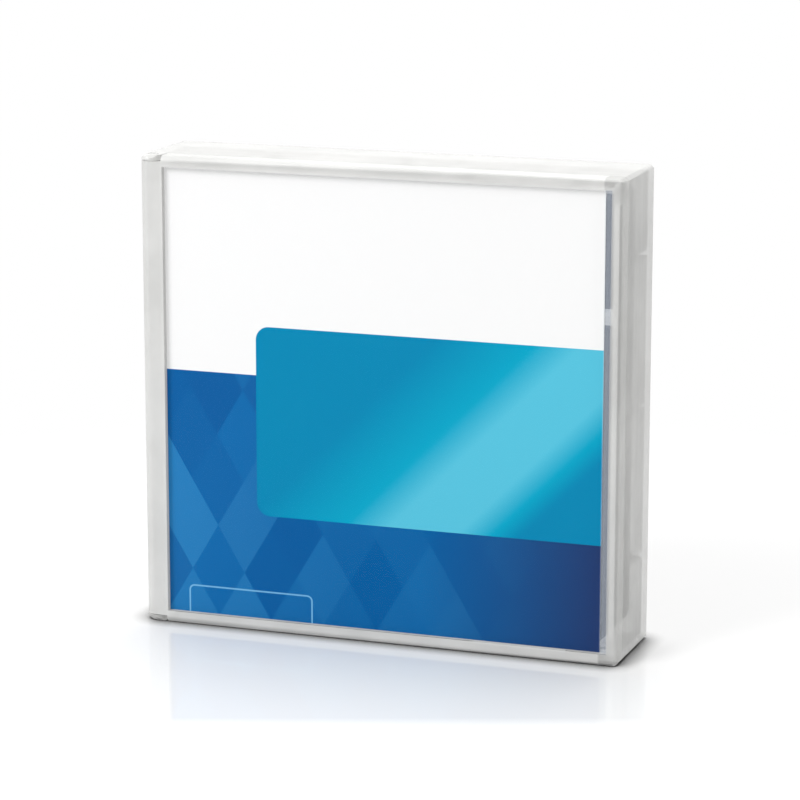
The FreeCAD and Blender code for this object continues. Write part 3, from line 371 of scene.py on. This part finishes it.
def place_piece(mesh, name, body, material, replaces=()):
    """Links a finished mesh as a piece that rides on a body."""
    piece = bpy.data.objects.new(name, mesh)
    bpy.context.scene.collection.objects.link(piece)
    mesh.materials.clear()
    mesh.materials.append(material)
    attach(piece, body)
    if replaces:
        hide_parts(*replaces)
    for node in replaces:
        dress(node, material)
    return piece


def merged(node):
    """A working copy of a node's mesh with its doubles merged."""
    work = bmesh.new()
    work.from_mesh(frame["nodes"][node].data)
    bmesh.ops.remove_doubles(work, verts=work.verts, dist=MERGE_WITHIN)
    return work


def smooth_copy(node, name, body, material):
    """A node's form with its doubles merged and its curves shaded smooth."""
    work = merged(node)
    mesh = bpy.data.meshes.new(name)
    work.to_mesh(mesh)
    work.free()
    mesh.shade_smooth()
    mesh.set_sharp_from_angle(angle=SHARP_FROM)
    piece = place_piece(mesh, name, body, material, (node,))
    # Flat faces stay flat beside their rounded edges.
    weigh = piece.modifiers.new("weighted_normals", "WEIGHTED_NORMAL")
    weigh.mode, weigh.keep_sharp = "FACE_AREA_WITH_ANGLE", True
    return piece


# ---------------------------------------------------------------- finishes
def frosted_plastic(name, opacity):
    """Frosted clear moulding; opacity tells how much of each skin stops the light."""
    finish = Finish(name)
    spot, x, y, z = finish.place()
    base = tuple(colours().clear_case)
    clouds = finish.noise(spot, 0.07, 3.0)
    # Faint flow lines run along the walls, as the plastic filled them.
    lines = finish.noise(finish.vectors("MULTIPLY", spot, (0.03, 1.0, 0.03)), 0.55, 2.0)
    shade = tuple(value * 0.86 for value in base)
    tint = finish.blend(clouds * 1.3 + lines * 1.2 - 0.7, shade, base)
    alpha, rough, cool = opacity(finish, x, y, z, clouds)
    tint = finish.blend(cool, tint, tuple(colours().clear_cool))
    grain = finish.noise(spot, 4.0, 1.0)
    ripple = finish.noise(spot, 0.3, 1.0)
    normal = finish.bumped(grain * 0.3 + ripple, 0.2, 0.12 * MM)
    return finish.surface(Base_Color=tint, Roughness=rough, Alpha=alpha, Normal=normal, IOR=1.5)


def tray_opacity(finish, x, y, z, clouds):
    """Evenly frosted, and a little clearer towards its foot, so that more of the dark cartridge
    shows through there: painted shade that darkens the walls' lower part.
    """
    # Painted shade: lower opacity near the floor lets the dark cartridge darken the tray's lower
    # walls.
    foot = 1 - finish.past(z, 28.0, 60.0)
    return 0.48 + clouds * 0.12 - foot * 0.14, 0.36 + clouds * 0.1, 0.0


def lid_opacity(finish, x, y, z, clouds):
    """Clear over the card, hazy beside its free edge and frosted on the rim and the hinge."""
    panel = 1 - finish.past(y, LID_LOW.y + PANEL_THICK, 0.05)
    up = finish.within(z, CARD_LOW.z + 0.3, CARD_HIGH.z, 0.15)
    window = panel * up * finish.within(x, CARD_LOW.x + 0.6, CARD_HIGH.x + 0.2, 0.15)
    slot = panel * up * finish.within(x, CARD_HIGH.x + 0.2, LIP_LEFT, 0.15)
    frosted = 1 - window - slot
    free_side = finish.past(x, CARD_HIGH.x, 0.5)
    alpha = frosted * (0.66 - free_side * 0.27 + clouds * 0.14)
    return alpha + window * 0.003 + slot * 0.18, 0.16 + frosted * 0.22, slot


def printed_card():
    """The printed face: white above, blue below, a teal panel and plain diamonds."""
    finish = Finish("printed_card")
    size, hue = sizes(), colours()
    spot, x, y, z = finish.place()
    right, up = x - CARD_LOW.x, z - CARD_LOW.z
    along = right / (CARD_HIGH.x - CARD_LOW.x)
    # The blue field darkens towards the opening side.
    field = finish.blend(along * 2.4, tuple(hue.field_light), tuple(hue.field_deep))
    field = finish.blend((along - 0.6) * 2.4, field, tuple(hue.field_dark))
    field = diamond_field(finish, right, up, along, field)
    paper = finish.blend(finish.past(up, size.field_top), field, tuple(hue.card_white))
    # The teal panel has round corners at its left and runs off the card's right edge.
    beyond = CARD_HIGH.x - CARD_LOW.x + RUN_OFF
    box = (size.panel_left, beyond, size.panel_low, size.panel_high)
    inset = rounded_field(finish, right, up, box, size.panel_corner)
    paper = finish.blend(1 - finish.past(inset, 0), paper, sheen(finish, right, up))
    # A plain outlined box runs off the card's foot.
    box_right = size.box_left + size.box_width
    box = (size.box_left, box_right, -size.box_high, size.box_high)
    edge = rounded_field(finish, right, up, box, BOX_CORNER)
    line = finish.within(edge, -BOX_LINE, 0.0, 0.1)
    paper = finish.blend(line * 0.8, paper, tuple(hue.box_line))
    printed = 1 - finish.past(y, CARD_LOW.y + 0.15, 0.02)
    tint = finish.blend(printed, tuple(hue.card_back), paper)
    fibres = finish.noise(spot, 2.2, 3.0)
    normal = finish.bumped(fibres, 0.12, 0.05 * MM)
    sockets = {"Specular IOR Level": 0.01}
    return finish.surface(
        sockets, Base_Color=tint, Roughness=0.44 - printed * 0.1, Normal=normal, IOR=1.45
    )


def rounded_field(finish, x, z, box, corner):
    """How far outside a round-cornered box a point lies, negative inside."""
    x0, x1, z0, z1 = box
    over_x = finish.maths("ABSOLUTE", x - (x0 + x1) / 2) - ((x1 - x0) / 2 - corner)
    over_z = finish.maths("ABSOLUTE", z - (z0 + z1) / 2) - ((z1 - z0) / 2 - corner)
    out_x = finish.maths("MAXIMUM", over_x, 0.0)
    out_z = finish.maths("MAXIMUM", over_z, 0.0)
    out = finish.maths("SQRT", out_x * out_x + out_z * out_z)
    inside = finish.maths("MINIMUM", finish.maths("MAXIMUM", over_x, over_z), 0.0)
    return out + inside - corner


def diamond_field(finish, x, z, along, field):
    """Small and large diamonds in slightly different blues, strongest towards the hinge."""
    weight = finish.maths("SUBTRACT", 1.0, along * 1.1, clamp=True)
    slant = z * 0.6
    for width, strength in ((sizes().cell * 2, 0.8), (sizes().cell, 1.0)):
        column = finish.maths("FLOOR", (x + slant) / width)
        row = finish.maths("FLOOR", (x - slant) / width)
        spot = finish.vector(column, row, width)
        chance = finish.add(
            "ShaderNodeTexWhiteNoise", {"noise_dimensions": "3D"}, {"Vector": spot}
        )
        light = finish.maths("MAXIMUM", chance - 0.5, 0.0) * weight * (0.6 * strength)
        dark = finish.maths("MAXIMUM", 0.45 - chance, 0.0) * weight * (1.2 * strength)
        field = finish.blend(light, field, tuple(colours().cell_pale))
        field = finish.blend(dark, field, tuple(colours().cell_deep))
    return field


def sheen(finish, right, up):
    """The teal panel's colour: a light beam that leans across it and ends sharply."""
    hue = colours()
    teal, bright, pale = tuple(hue.panel_teal), tuple(hue.panel_bright), tuple(hue.panel_sheen)
    lean = (right - up) - BEAM_CREST
    stops = [(0.0, teal), (0.36, bright), (0.52, pale), (0.78, pale), (0.9, bright), (1.0, teal)]
    along = (lean + BEAM_BEFORE) / (BEAM_BEFORE + BEAM_PAST)
    return finish.add("ShaderNodeValToRGB", {"stops": stops}, {0: along})


def moulded_plastic(name, tint, rough, grain_size, grain, opacity=1.0):
    """Spark-eroded moulded plastic, a little worn to a shine in places."""
    finish = Finish(name)
    spot = finish.place()[0]
    clouds = finish.noise(spot, 0.12, 3.0)
    pits = finish.noise(spot, grain_size, 2.0, 0.7)
    pale = tuple(min(1.0, value * 1.3 + 0.004) for value in tint)
    base = finish.blend(clouds, tuple(tint), pale)
    normal = finish.bumped(pits, grain, 0.06 * MM)
    gloss = rough - 0.1 + clouds * 0.2
    return finish.surface(
        Base_Color=base, Roughness=gloss, Alpha=opacity, Normal=normal, IOR=1.46
    )


def bright_steel(name, tint, rough=0.28):
    """Drawn or turned steel with fine lines."""
    finish = Finish(name)
    spot = finish.place()[0]
    lines = finish.noise(finish.vectors("MULTIPLY", spot, (0.4, 6.0, 0.4)), 1.5, 2.0)
    base = finish.blend(lines, tuple(value * 0.8 for value in tint), tuple(tint))
    normal = finish.bumped(lines, 0.1, 0.03 * MM)
    return finish.surface(
        Base_Color=base, Metallic=1.0, Roughness=rough + lines * 0.12, Normal=normal
    )


def wound_tape():
    """The pack's flat sides show fine rings of turns; its rim is one smooth dark turn."""
    finish = Finish("wound_tape")
    _, x, _, z = finish.place()
    off_x, off_z = x - REEL.x, z - REEL.z
    radius = finish.maths("SQRT", off_x * off_x + off_z * off_z)
    bands = finish.noise(finish.vector(radius * 3.0, 0.0, 0.0), 1.0, 4.0, 0.7)
    tint = tuple(colours().tape)
    base = finish.blend(bands, tuple(value * 0.6 for value in tint), tint)
    normal = finish.bumped(bands, 0.2, 0.05 * MM)
    return finish.surface(
        Base_Color=base, Roughness=0.2 + bands * 0.2, Normal=normal, IOR=1.6
    )


def chip_finish():
    """Green board with a copper loop round its edge and a dark chip in the middle."""
    finish = Finish("memory_chip")
    spot, x, y, z = finish.place()
    low, high = lies("memory_chip")
    middle = (low + high) / 2
    # The board stands on edge across the corner: run goes along it.
    run = ((x - middle.x) + (z - middle.z)) * math.sqrt(0.5)
    reach = (high.x - low.x) * math.sqrt(0.5) - 0.6
    box = (-reach, reach, low.y + 0.5, high.y - 0.5)
    depth = rounded_field(finish, run, y, box, 0.6)
    turn = finish.maths("FRACT", depth / TRACK)
    line = finish.within(turn, 0.1, 0.5, 0.1)
    loop = line * finish.within(depth, -TRACK * TRACK_TURNS, 0.0, 0.02)
    hue = colours()
    weave = finish.noise(spot, 5.0, 1.0)
    board = finish.blend(weave, tuple(value * 0.7 for value in hue.board), tuple(hue.board))
    tint = finish.blend(loop, board, tuple(hue.copper))
    low, high = middle.y - DIE_DROP - DIE_RISE, middle.y - DIE_DROP + DIE_RISE
    die = finish.within(run, -DIE_RUN, DIE_RUN) * finish.within(y, low, high)
    tint = finish.blend(die, tint, plain(24, 25, 27))
    normal = finish.bumped(loop + weave * 0.2, 0.3, 0.03 * MM)
    return finish.surface(
        Base_Color=tint, Metallic=loop * 0.9, Roughness=0.38, Normal=normal, IOR=1.5
    )


# ---------------------------------------------------------------- wire and screws
class Tree:
    """A Geometry Nodes tree under construction, with its named inputs."""

    def __init__(self, name, inputs):
        self.tree = bpy.data.node_groups.new(name, "GeometryNodeTree")
        face = self.tree.interface
        face.new_socket(name="Geometry", in_out="INPUT", socket_type="NodeSocketGeometry")
        self.keys = {}
        for label, kind in inputs.items():
            item = face.new_socket(name=label, in_out="INPUT", socket_type="NodeSocket" + kind)
            self.keys[label] = item.identifier
        face.new_socket(name="Geometry", in_out="OUTPUT", socket_type="NodeSocketGeometry")
        self.given = self.tree.nodes.new("NodeGroupInput")

    def add(self, kind, sockets, settings=None):
        node = self.tree.nodes.new(kind)
        for key, value in (settings or {}).items():
            setattr(node, key, value)
        for key, value in sockets.items():
            if isinstance(value, bpy.types.NodeSocket):
                self.tree.links.new(value, node.inputs[key])
            else:
                node.inputs[key].default_value = value
        return node.outputs[0]

    def maths(self, operation, first, second):
        return self.add("ShaderNodeMath", {0: first, 1: second}, {"operation": operation})

    def end(self, geometry):
        """Every tree ends by realizing its instances and setting its material."""
        real = self.add("GeometryNodeRealizeInstances", {"Geometry": geometry})
        sockets = {"Geometry": real, "Material": self.given.outputs["Material"]}
        done = self.add("GeometryNodeSetMaterial", sockets)
        out = self.tree.nodes.new("NodeGroupOutput")
        self.tree.links.new(done, out.inputs[0])

    def grown(self, mesh, name, values):
        """The plain mesh that the tree makes from a mesh, with these input values."""
        carrier = bpy.data.objects.new(name + "_carrier", mesh)
        bpy.context.scene.collection.objects.link(carrier)
        modifier = carrier.modifiers.new(name, "NODES")
        modifier.node_group = self.tree
        for label, value in values.items():
            modifier[self.keys[label]] = value
        bpy.context.view_layer.update()
        graph = bpy.context.evaluated_depsgraph_get()
        made = bpy.data.meshes.new_from_object(carrier.evaluated_get(graph))
        bpy.data.objects.remove(carrier)
        if not made.polygons:
            raise RuntimeError(f"{name}: the tree made no faces")
        made.name = name
        return made


def wire_tree():
    """Round wire along the edges of a path."""
    tree = Tree("wire_on_path", {"Thickness": "Float", "Sides": "Int", "Material": "Material"})
    given = tree.given.outputs
    path = tree.add("GeometryNodeMeshToCurve", {"Mesh": given["Geometry"]})
    radius = tree.maths("DIVIDE", given["Thickness"], 2.0)
    sockets = {"Resolution": given["Sides"], "Radius": radius}
    ring = tree.add("GeometryNodeCurvePrimitiveCircle", sockets)
    sockets = {"Curve": path, "Profile Curve": ring, "Fill Caps": True}
    tree.end(tree.add("GeometryNodeCurveToMesh", sockets))
    return tree


def screw_tree():
    """One countersunk screw with a six-sided socket at each point, its head towards +Y."""
    inputs = {
        "Head Radius": "Float",
        "Shank Radius": "Float",
        "Head Height": "Float",
        "Shank Length": "Float",
        "Socket Radius": "Float",
        "Socket Depth": "Float",
        "Sides": "Int",
        "Material": "Material",
    }
    tree = Tree("screws_at_points", inputs)
    given = tree.given.outputs
    head = tree.add(
        "GeometryNodeMeshCone",
        {
            "Vertices": given["Sides"],
            "Radius Top": given["Head Radius"],
            "Radius Bottom": given["Shank Radius"],
            "Depth": given["Head Height"],
        },
    )
    drop = tree.maths("MULTIPLY", given["Head Height"], -1.0)
    head = tree.add(
        "GeometryNodeTransform",
        {"Geometry": head, "Translation": tree.add("ShaderNodeCombineXYZ", {"Z": drop})},
    )
    depth = tree.maths("MULTIPLY", given["Socket Depth"], 2.0)
    sockets = {"Vertices": 6, "Radius": given["Socket Radius"], "Depth": depth}
    recess = tree.add("GeometryNodeMeshCylinder", sockets)
    sockets = {"Mesh 1": head, "Mesh 2": recess}
    head = tree.add("GeometryNodeMeshBoolean", sockets, {"operation": "DIFFERENCE"})
    sockets = {
        "Vertices": given["Sides"],
        "Radius": given["Shank Radius"],
        "Depth": given["Shank Length"],
    }
    shank = tree.add("GeometryNodeMeshCylinder", sockets)
    fall = tree.maths("MULTIPLY", given["Shank Length"], -0.5)
    low = tree.maths("SUBTRACT", fall, given["Head Height"])
    place = tree.add("ShaderNodeCombineXYZ", {"Z": low})
    shank = tree.add("GeometryNodeTransform", {"Geometry": shank, "Translation": place})
    screw = tree.tree.nodes.new("GeometryNodeJoinGeometry")
    for part in (head, shank):
        tree.tree.links.new(part, screw.inputs[0])
    turn = (-math.pi / 2, 0.0, 0.0)
    spots = {"Points": given["Geometry"], "Instance": screw.outputs[0], "Rotation": turn}
    tree.end(tree.add("GeometryNodeInstanceOnPoints", spots))
    return tree


def path_mesh(name, points):
    """A string of edges through points given in millimetres."""
    mesh = bpy.data.meshes.new(name)
    places = [Vector(point) * MM for point in points]
    mesh.from_pydata(places, [(k, k + 1) for k in range(len(places) - 1)], [])
    return mesh


def coil_points(node, axis, wire, turns):
    """The line of a compression spring's wire that fills a node's box, closed at both ends."""
    low, high = lies(node)
    middle = (low + high) / 2
    across = [k for k in range(3) if k != axis]
    radius = (high[across[0]] - low[across[0]]) / 2 - wire / 2
    start, end = low[axis] + wire / 2, high[axis] - wire / 2
    steps = sizes().turn_steps
    closed = [wire / steps] * steps  # the first and the last turn lie closed
    free = (turns - 2) * steps
    rise = closed + [(end - start - 2 * wire) / free] * free + closed
    points, along = [], start
    for k in range(turns * steps + 1):
        angle = 2 * math.pi * k / steps
        point = [0.0, 0.0, 0.0]
        point[axis] = along
        point[across[0]] = middle[across[0]] + radius * math.cos(angle)
        point[across[1]] = middle[across[1]] + radius * math.sin(angle)
        points.append(point)
        if k < len(rise):
            along += rise[k]
    return points


def loose_parts(node):
    """The lowest and highest corners of each loose part of a node, in millimetres.

    They come from the lowest x up, and then by y and z, because a set has no order of its own.
    """
    work = merged(node)
    left, parts = set(work.verts), []
    while left:
        stack, part = [left.pop()], []
        while stack:
            vertex = stack.pop()
            part.append(vertex.co / MM)
            for edge in vertex.link_edges:
                other = edge.other_vert(vertex)
                if other in left:
                    left.remove(other)
                    stack.append(other)
        low = Vector([min(co[k] for co in part) for k in range(3)])
        high = Vector([max(co[k] for co in part) for k in range(3)])
        parts.append((low, high))
    work.free()
    return sorted(parts, key=lambda part: tuple(part[0]))


# ---------------------------------------------------------------- operators
class FinishCase(bpy.types.Operator):
    """Frost the tray and the lid of the storage case"""

    bl_idname = "tape_case.finish_case"
    bl_label = "Finish Case"

    def execute(self, context):
        tray = frosted_plastic("frosted_tray", tray_opacity)
        lid = frosted_plastic("clear_lid", lid_opacity)
        smooth_copy("case_base", "tray_moulding", "case_tray", tray)
        smooth_copy("case_lid", "lid_moulding", "lid", lid)
        return {"FINISHED"}


class MakeInlayCard(bpy.types.Operator):
    """Make the printed card that lies against the inside of the lid"""

    bl_idname = "tape_case.make_card"
    bl_label = "Make Inlay Card"

    def execute(self, context):
        gap, corner = sizes().card_gap, sizes().card_corner
        centres = (
            (CARD_HIGH.x - corner, CARD_HIGH.z - corner, 0),
            (CARD_LOW.x + corner, CARD_HIGH.z - corner, 90),
            (CARD_LOW.x + corner, CARD_LOW.z + corner, 180),
            (CARD_HIGH.x - corner, CARD_LOW.z + corner, 270),
        )
        front = []
        for x, z, start in centres:
            for step in range(CORNER_CHORDS + 1):
                angle = math.radians(start + step * 90 / CORNER_CHORDS)
                out_x, out_z = corner * math.cos(angle), corner * math.sin(angle)
                front.append(Vector((x + out_x, CARD_LOW.y + gap, z + out_z)) * MM)
        depth = Vector((0, (CARD_HIGH.y - CARD_LOW.y - gap) * MM, 0))
        total = len(front)
        faces = [range(total), range(2 * total - 1, total - 1, -1)]
        for k in range(total):
            after = (k + 1) % total
            faces.append((k, k + total, after + total, after))
        mesh = bpy.data.meshes.new("inlay_card_sheet")
        mesh.from_pydata(front + [point + depth for point in front], [], faces)
        paper = printed_card()
        place_piece(mesh, "inlay_card_sheet", "lid", paper, ("inlay_card",))
        return {"FINISHED"}


class FinishCartridge(bpy.types.Operator):
    """Finish the shells, door and switch of the cartridge"""

    bl_idname = "tape_case.finish_cartridge"
    bl_label = "Finish Cartridge"

    def execute(self, context):
        hue = colours()
        charcoal = moulded_plastic("charcoal_shell", hue.shell, 0.5, 3.0, 0.35)
        grey = moulded_plastic("dark_door", tuple(v * 1.6 for v in hue.shell), 0.42, 4.0, 0.15)
        red = moulded_plastic("switch_red", hue.switch, 0.4, 4.0, 0.1)
        smooth_copy("lower_shell", "lower_shell_moulding", "case_tray", charcoal)
        smooth_copy("upper_shell", "upper_shell_moulding", "case_tray", charcoal)
        dress("access_door", grey)
        dress("write_protect_switch", red)
        dress("memory_chip", chip_finish())
        return {"FINISHED"}


class FinishReel(bpy.types.Operator):
    """Finish the reel, its tape, lock and the leader pin"""

    bl_idname = "tape_case.finish_reel"
    bl_label = "Finish Reel"

    def execute(self, context):
        hue = colours()
        white = moulded_plastic("reel_white", hue.reel, 0.4, 3.0, 0.1)
        clear = moulded_plastic("flange_clear", hue.reel, 0.3, 3.0, 0.1, 0.65)
        dark = moulded_plastic("brake_dark", tuple(v * 1.8 for v in hue.shell), 0.42, 4.0, 0.15)
        steel = bright_steel("plain_steel", hue.steel)
        tape = wound_tape()
        smooth_copy("reel_hub", "reel_hub_moulding", "reel", white)
        smooth_copy("upper_flange", "upper_flange_disc", "reel", clear)
        smooth_copy("tape_pack", "wound_tape_pack", "reel", tape)
        smooth_copy("drive_plate", "drive_plate_disc", "reel", steel)
        smooth_copy("brake_button", "reel_lock_moulding", "reel_lock", dark)
        smooth_copy("release_pad", "release_pad_moulding", "release", dark)
        smooth_copy("leader_pin", "leader_pin_turned", "case_tray", steel)
        smooth_copy("tape_clip", "tape_clip_ring", "case_tray", white)
        dress("leader_tape", tape)
        return {"FINISHED"}


class MakeSprings(bpy.types.Operator):
    """Wind the door spring, the reel lock's spring and the leader pin's wire springs"""

    bl_idname = "tape_case.make_springs"
    bl_label = "Make Springs"

    def execute(self, context):
        size = sizes()
        tree = wire_tree()
        steel = bright_steel("spring_steel", tuple(v * 0.9 for v in colours().steel), 0.22)

        def bent(node, name, points, wire, body):
            values = {"Thickness": wire * MM, "Sides": size.wire_sides, "Material": steel}
            mesh = tree.grown(path_mesh(name, points), name, values)
            mesh.shade_smooth()
            return place_piece(mesh, name, body, steel, (node,))

        points = coil_points("door_spring", 0, size.door_wire, size.door_turns)
        spring = bent("door_spring", "door_spring_coil", points, size.door_wire, "case_tray")
        low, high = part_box("door_spring")
        keep = 1 - travel("door_slide") / (high.x - low.x)
        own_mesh(spring)

        points = coil_points("brake_spring", 1, size.lock_wire, size.lock_turns)
        spring = bent("brake_spring", "lock_spring_coil", points, size.lock_wire, "case_tray")
        low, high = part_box("brake_spring")
        keep = 1 - travel("lock_lift") / (high.y - low.y)
        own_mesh(spring)

        # Two U-shaped wires: legs up, and a half turn below the leader pin.
        wire = size.pin_wire
        for k, (low, high) in enumerate(loose_parts("pin_springs")):
            middle = (low + high) / 2
            radius = (high.x - low.x) / 2 - wire / 2
            turn_z = low.z + wire / 2 + radius
            points = [(middle.x - radius, middle.y, high.z)]
            for step in range(PIN_TURN_CHORDS + 1):
                angle = math.pi * (1 + step / PIN_TURN_CHORDS)
                x = middle.x + radius * math.cos(angle)
                points.append((x, middle.y, turn_z + radius * math.sin(angle)))
            points.append((middle.x + radius, middle.y, high.z))
            bent("pin_springs", f"pin_spring_wire_{k + 1}", points, wire, "case_tray")
        return {"FINISHED"}


class MakeScrews(bpy.types.Operator):
    """Make the countersunk screws that hold the two shells together"""

    bl_idname = "tape_case.make_screws"
    bl_label = "Make Screws"

    def execute(self, context):
        size, places = sizes(), []
        for low, high in loose_parts("shell_screws"):
            middle = (low + high) / 2
            places.append(Vector((middle.x, high.y, middle.z)) * MM)
        # The screws are alike, so the last one gives their head's width and their length.
        head, reach = (high.x - low.x) / 2, high.y - low.y
        spots = bpy.data.meshes.new("screw_places")
        spots.from_pydata(places, [], [])
        steel = bright_steel("screw_steel", tuple(v * 0.7 for v in colours().steel), 0.3)
        values = {
            "Head Radius": head * MM,
            "Shank Radius": size.screw_shank * MM,
            "Head Height": size.screw_head * MM,
            "Shank Length": (reach - size.screw_head) * MM,
            "Socket Radius": size.socket_radius * MM,
            "Socket Depth": size.socket_depth * MM,
            "Sides": size.screw_sides,
            "Material": steel,
        }
        mesh = screw_tree().grown(spots, "countersunk_screws", values)
        place_piece(mesh, "countersunk_screws", "case_tray", steel, ("shell_screws",))
        return {"FINISHED"}


class SetStage(bpy.types.Operator):
    """Set the floor, the lamps, the world and the camera"""

    bl_idname = "tape_case.set_stage"
    bl_label = "Set Stage"

    def execute(self, context):
        lay_floor()
        light_world()
        for name, (place, width, power) in LAMPS.items():
            hang_lamp(name, place, width, power)
        aim_camera(context.scene)
        context.scene.view_settings.view_transform = "Standard"
        return {"FINISHED"}


def lay_floor():
    """A plain white floor that keeps a soft shadow, a painted shadow line at the object's foot, and
    a short, faint reflection.
    """
    mesh = bpy.data.meshes.new("floor")
    reach = FLOOR_REACH
    corners = [(-reach, -reach, 0), (reach, -reach, 0), (reach, reach, 0), (-reach, reach, 0)]
    mesh.from_pydata(corners, [], [(0, 1, 2, 3)])
    floor = bpy.data.objects.new("floor", mesh)
    bpy.context.scene.collection.objects.link(floor)
    finish = Finish("pale_floor")
    white = tuple(colours().floor)

    def matt(share):
        tint = tuple(value * share for value in white)
        return finish.add("ShaderNodeBsdfDiffuse", None, {"Color": tint})

    seen = finish.add("ShaderNodeLightPath", out="Is Camera Ray")
    glow = finish.add("ShaderNodeEmission", None, {"Color": white, "Strength": 1.0})
    polish = finish.add("ShaderNodeBsdfGlossy", None, {"Color": white, "Roughness": 0.03})
    spot, x, y, _ = finish.place()
    # Within a few millimetres of the object the floor keeps a painted shadow line: ambient
    # occlusion darkens it towards black.
    sockets = {"Distance": CONTACT_SHADOW_REACH * MM}
    open_sky = finish.add("ShaderNodeAmbientOcclusion", {"samples": 8}, sockets, out=1)
    contact_shadow = finish.maths("SUBTRACT", 1.0, (1 - open_sky) * CONTACT_SHADOW_DEPTH, clamp=True)
    # Away from the object the floor is lifted to the backdrop's white.
    out = finish.vectors("LENGTH", spot, out=1)
    rise = finish.maths("DIVIDE", out - LIFT_START, LIFT_RUN, clamp=True)
    # The painted shadow line also holds back the lift to white.
    lift = (LIFT_NEAR + rise * (1 - LIFT_NEAR)) * contact_shadow
    # Painted shadow: where the occlusion is deep, the matt floor blends to a black matt finish.
    beside = finish.layer(contact_shadow, matt(0.0), matt(SEEN_WHITE))
    lifted = finish.layer(lift, beside, glow)
    # The floor looks white but throws less light up at the object's foot.
    plain_floor = finish.layer(seen, matt(THROWN_WHITE), lifted)
    # The polish ends a hand's breadth in front of the object.
    forward = x * math.sin(VIEW_TURN) - y * math.cos(VIEW_TURN)
    near = 1 - finish.past(forward, POLISH_EDGE, POLISH_FADE)
    skin = finish.layer(near * seen * POLISH, plain_floor, polish)
    finish.add("ShaderNodeOutputMaterial", None, {"Surface": skin})
    mesh.materials.append(finish.owner)


def light_world():
    """Even studio light, and a white backdrop for the eye, gloss and clear parts."""
    world = Finish("studio", "worlds")
    white = tuple(colours().floor)
    camera, gloss, clear = (
        world.add("ShaderNodeLightPath", out=f"Is {ray} Ray")
        for ray in ("Camera", "Glossy", "Transmission")
    )
    seen = world.maths("MAXIMUM", camera, world.maths("MAXIMUM", gloss, clear))
    light = world.add("ShaderNodeBackground", None, {"Color": white, "Strength": WORLD_LIGHT})
    backdrop = world.add("ShaderNodeBackground", None, {"Color": white, "Strength": 1.0})
    world.add("ShaderNodeOutputWorld", None, {"Surface": world.layer(seen, light, backdrop)})
    bpy.context.scene.world = world.owner


def hang_lamp(name, place, width, power):
    """A square softbox that faces the object's middle."""
    lamp = bpy.data.lights.new(name, "AREA")
    lamp.size = width
    lamp.energy = power
    holder = bpy.data.objects.new(name, lamp)
    holder.location = place
    holder.rotation_euler = (object_middle() - Vector(place)).to_track_quat("-Z", "Y").to_euler()
    bpy.context.scene.collection.objects.link(holder)


def aim_camera(scene):
    """A long lens from the front, a little to the opening side and above."""
    across, rise = math.cos(VIEW_RISE), math.sin(VIEW_RISE)
    toward = Vector((math.sin(VIEW_TURN) * across, -math.cos(VIEW_TURN) * across, rise))
    lens = bpy.data.cameras.new("camera")
    lens.sensor_width = 36
    lens.lens = VIEW_LENS
    lens.shift_x, lens.shift_y = VIEW_SHIFT
    lens.clip_start = 0.01
    lens.clip_end = 50
    camera = bpy.data.objects.new("camera", lens)
    camera.location = object_middle() + toward * VIEW_REACH
    camera.rotation_euler = (-toward).to_track_quat("-Z", "Y").to_euler()
    scene.collection.objects.link(camera)
    scene.camera = camera


class TapeCasePanel(bpy.types.Panel):
    bl_idname = "VIEW3D_PT_tape_case"
    bl_label = "Tape Case"
    bl_space_type = "VIEW_3D"
    bl_region_type = "UI"
    bl_category = "Tape Case"

    def draw(self, context):
        for step in STEPS:
            self.layout.operator(step.bl_idname)


STEPS = (
    FinishCase,
    MakeInlayCard,
    FinishCartridge,
    FinishReel,
    MakeSprings,
    MakeScrews,
    SetStage,
)
CLASSES = (TapeCaseSizes, TapeCaseColours, *STEPS, TapeCasePanel)


def register():
    for item in CLASSES:
        bpy.utils.register_class(item)
    bpy.types.Scene.tape_case_sizes = PointerProperty(type=TapeCaseSizes)
    bpy.types.Scene.tape_case_colours = PointerProperty(type=TapeCaseColours)


def unregister():
    del bpy.types.Scene.tape_case_colours
    del bpy.types.Scene.tape_case_sizes
    for item in reversed(CLASSES):
        bpy.utils.unregister_class(item)


def main():
    register()
    bpy.ops.tape_case.finish_case()
    bpy.ops.tape_case.make_card()
    bpy.ops.tape_case.finish_cartridge()
    bpy.ops.tape_case.finish_reel()
    bpy.ops.tape_case.make_springs()
    bpy.ops.tape_case.make_screws()
    bpy.ops.tape_case.set_stage()


if __name__ == "__main__":
    main()
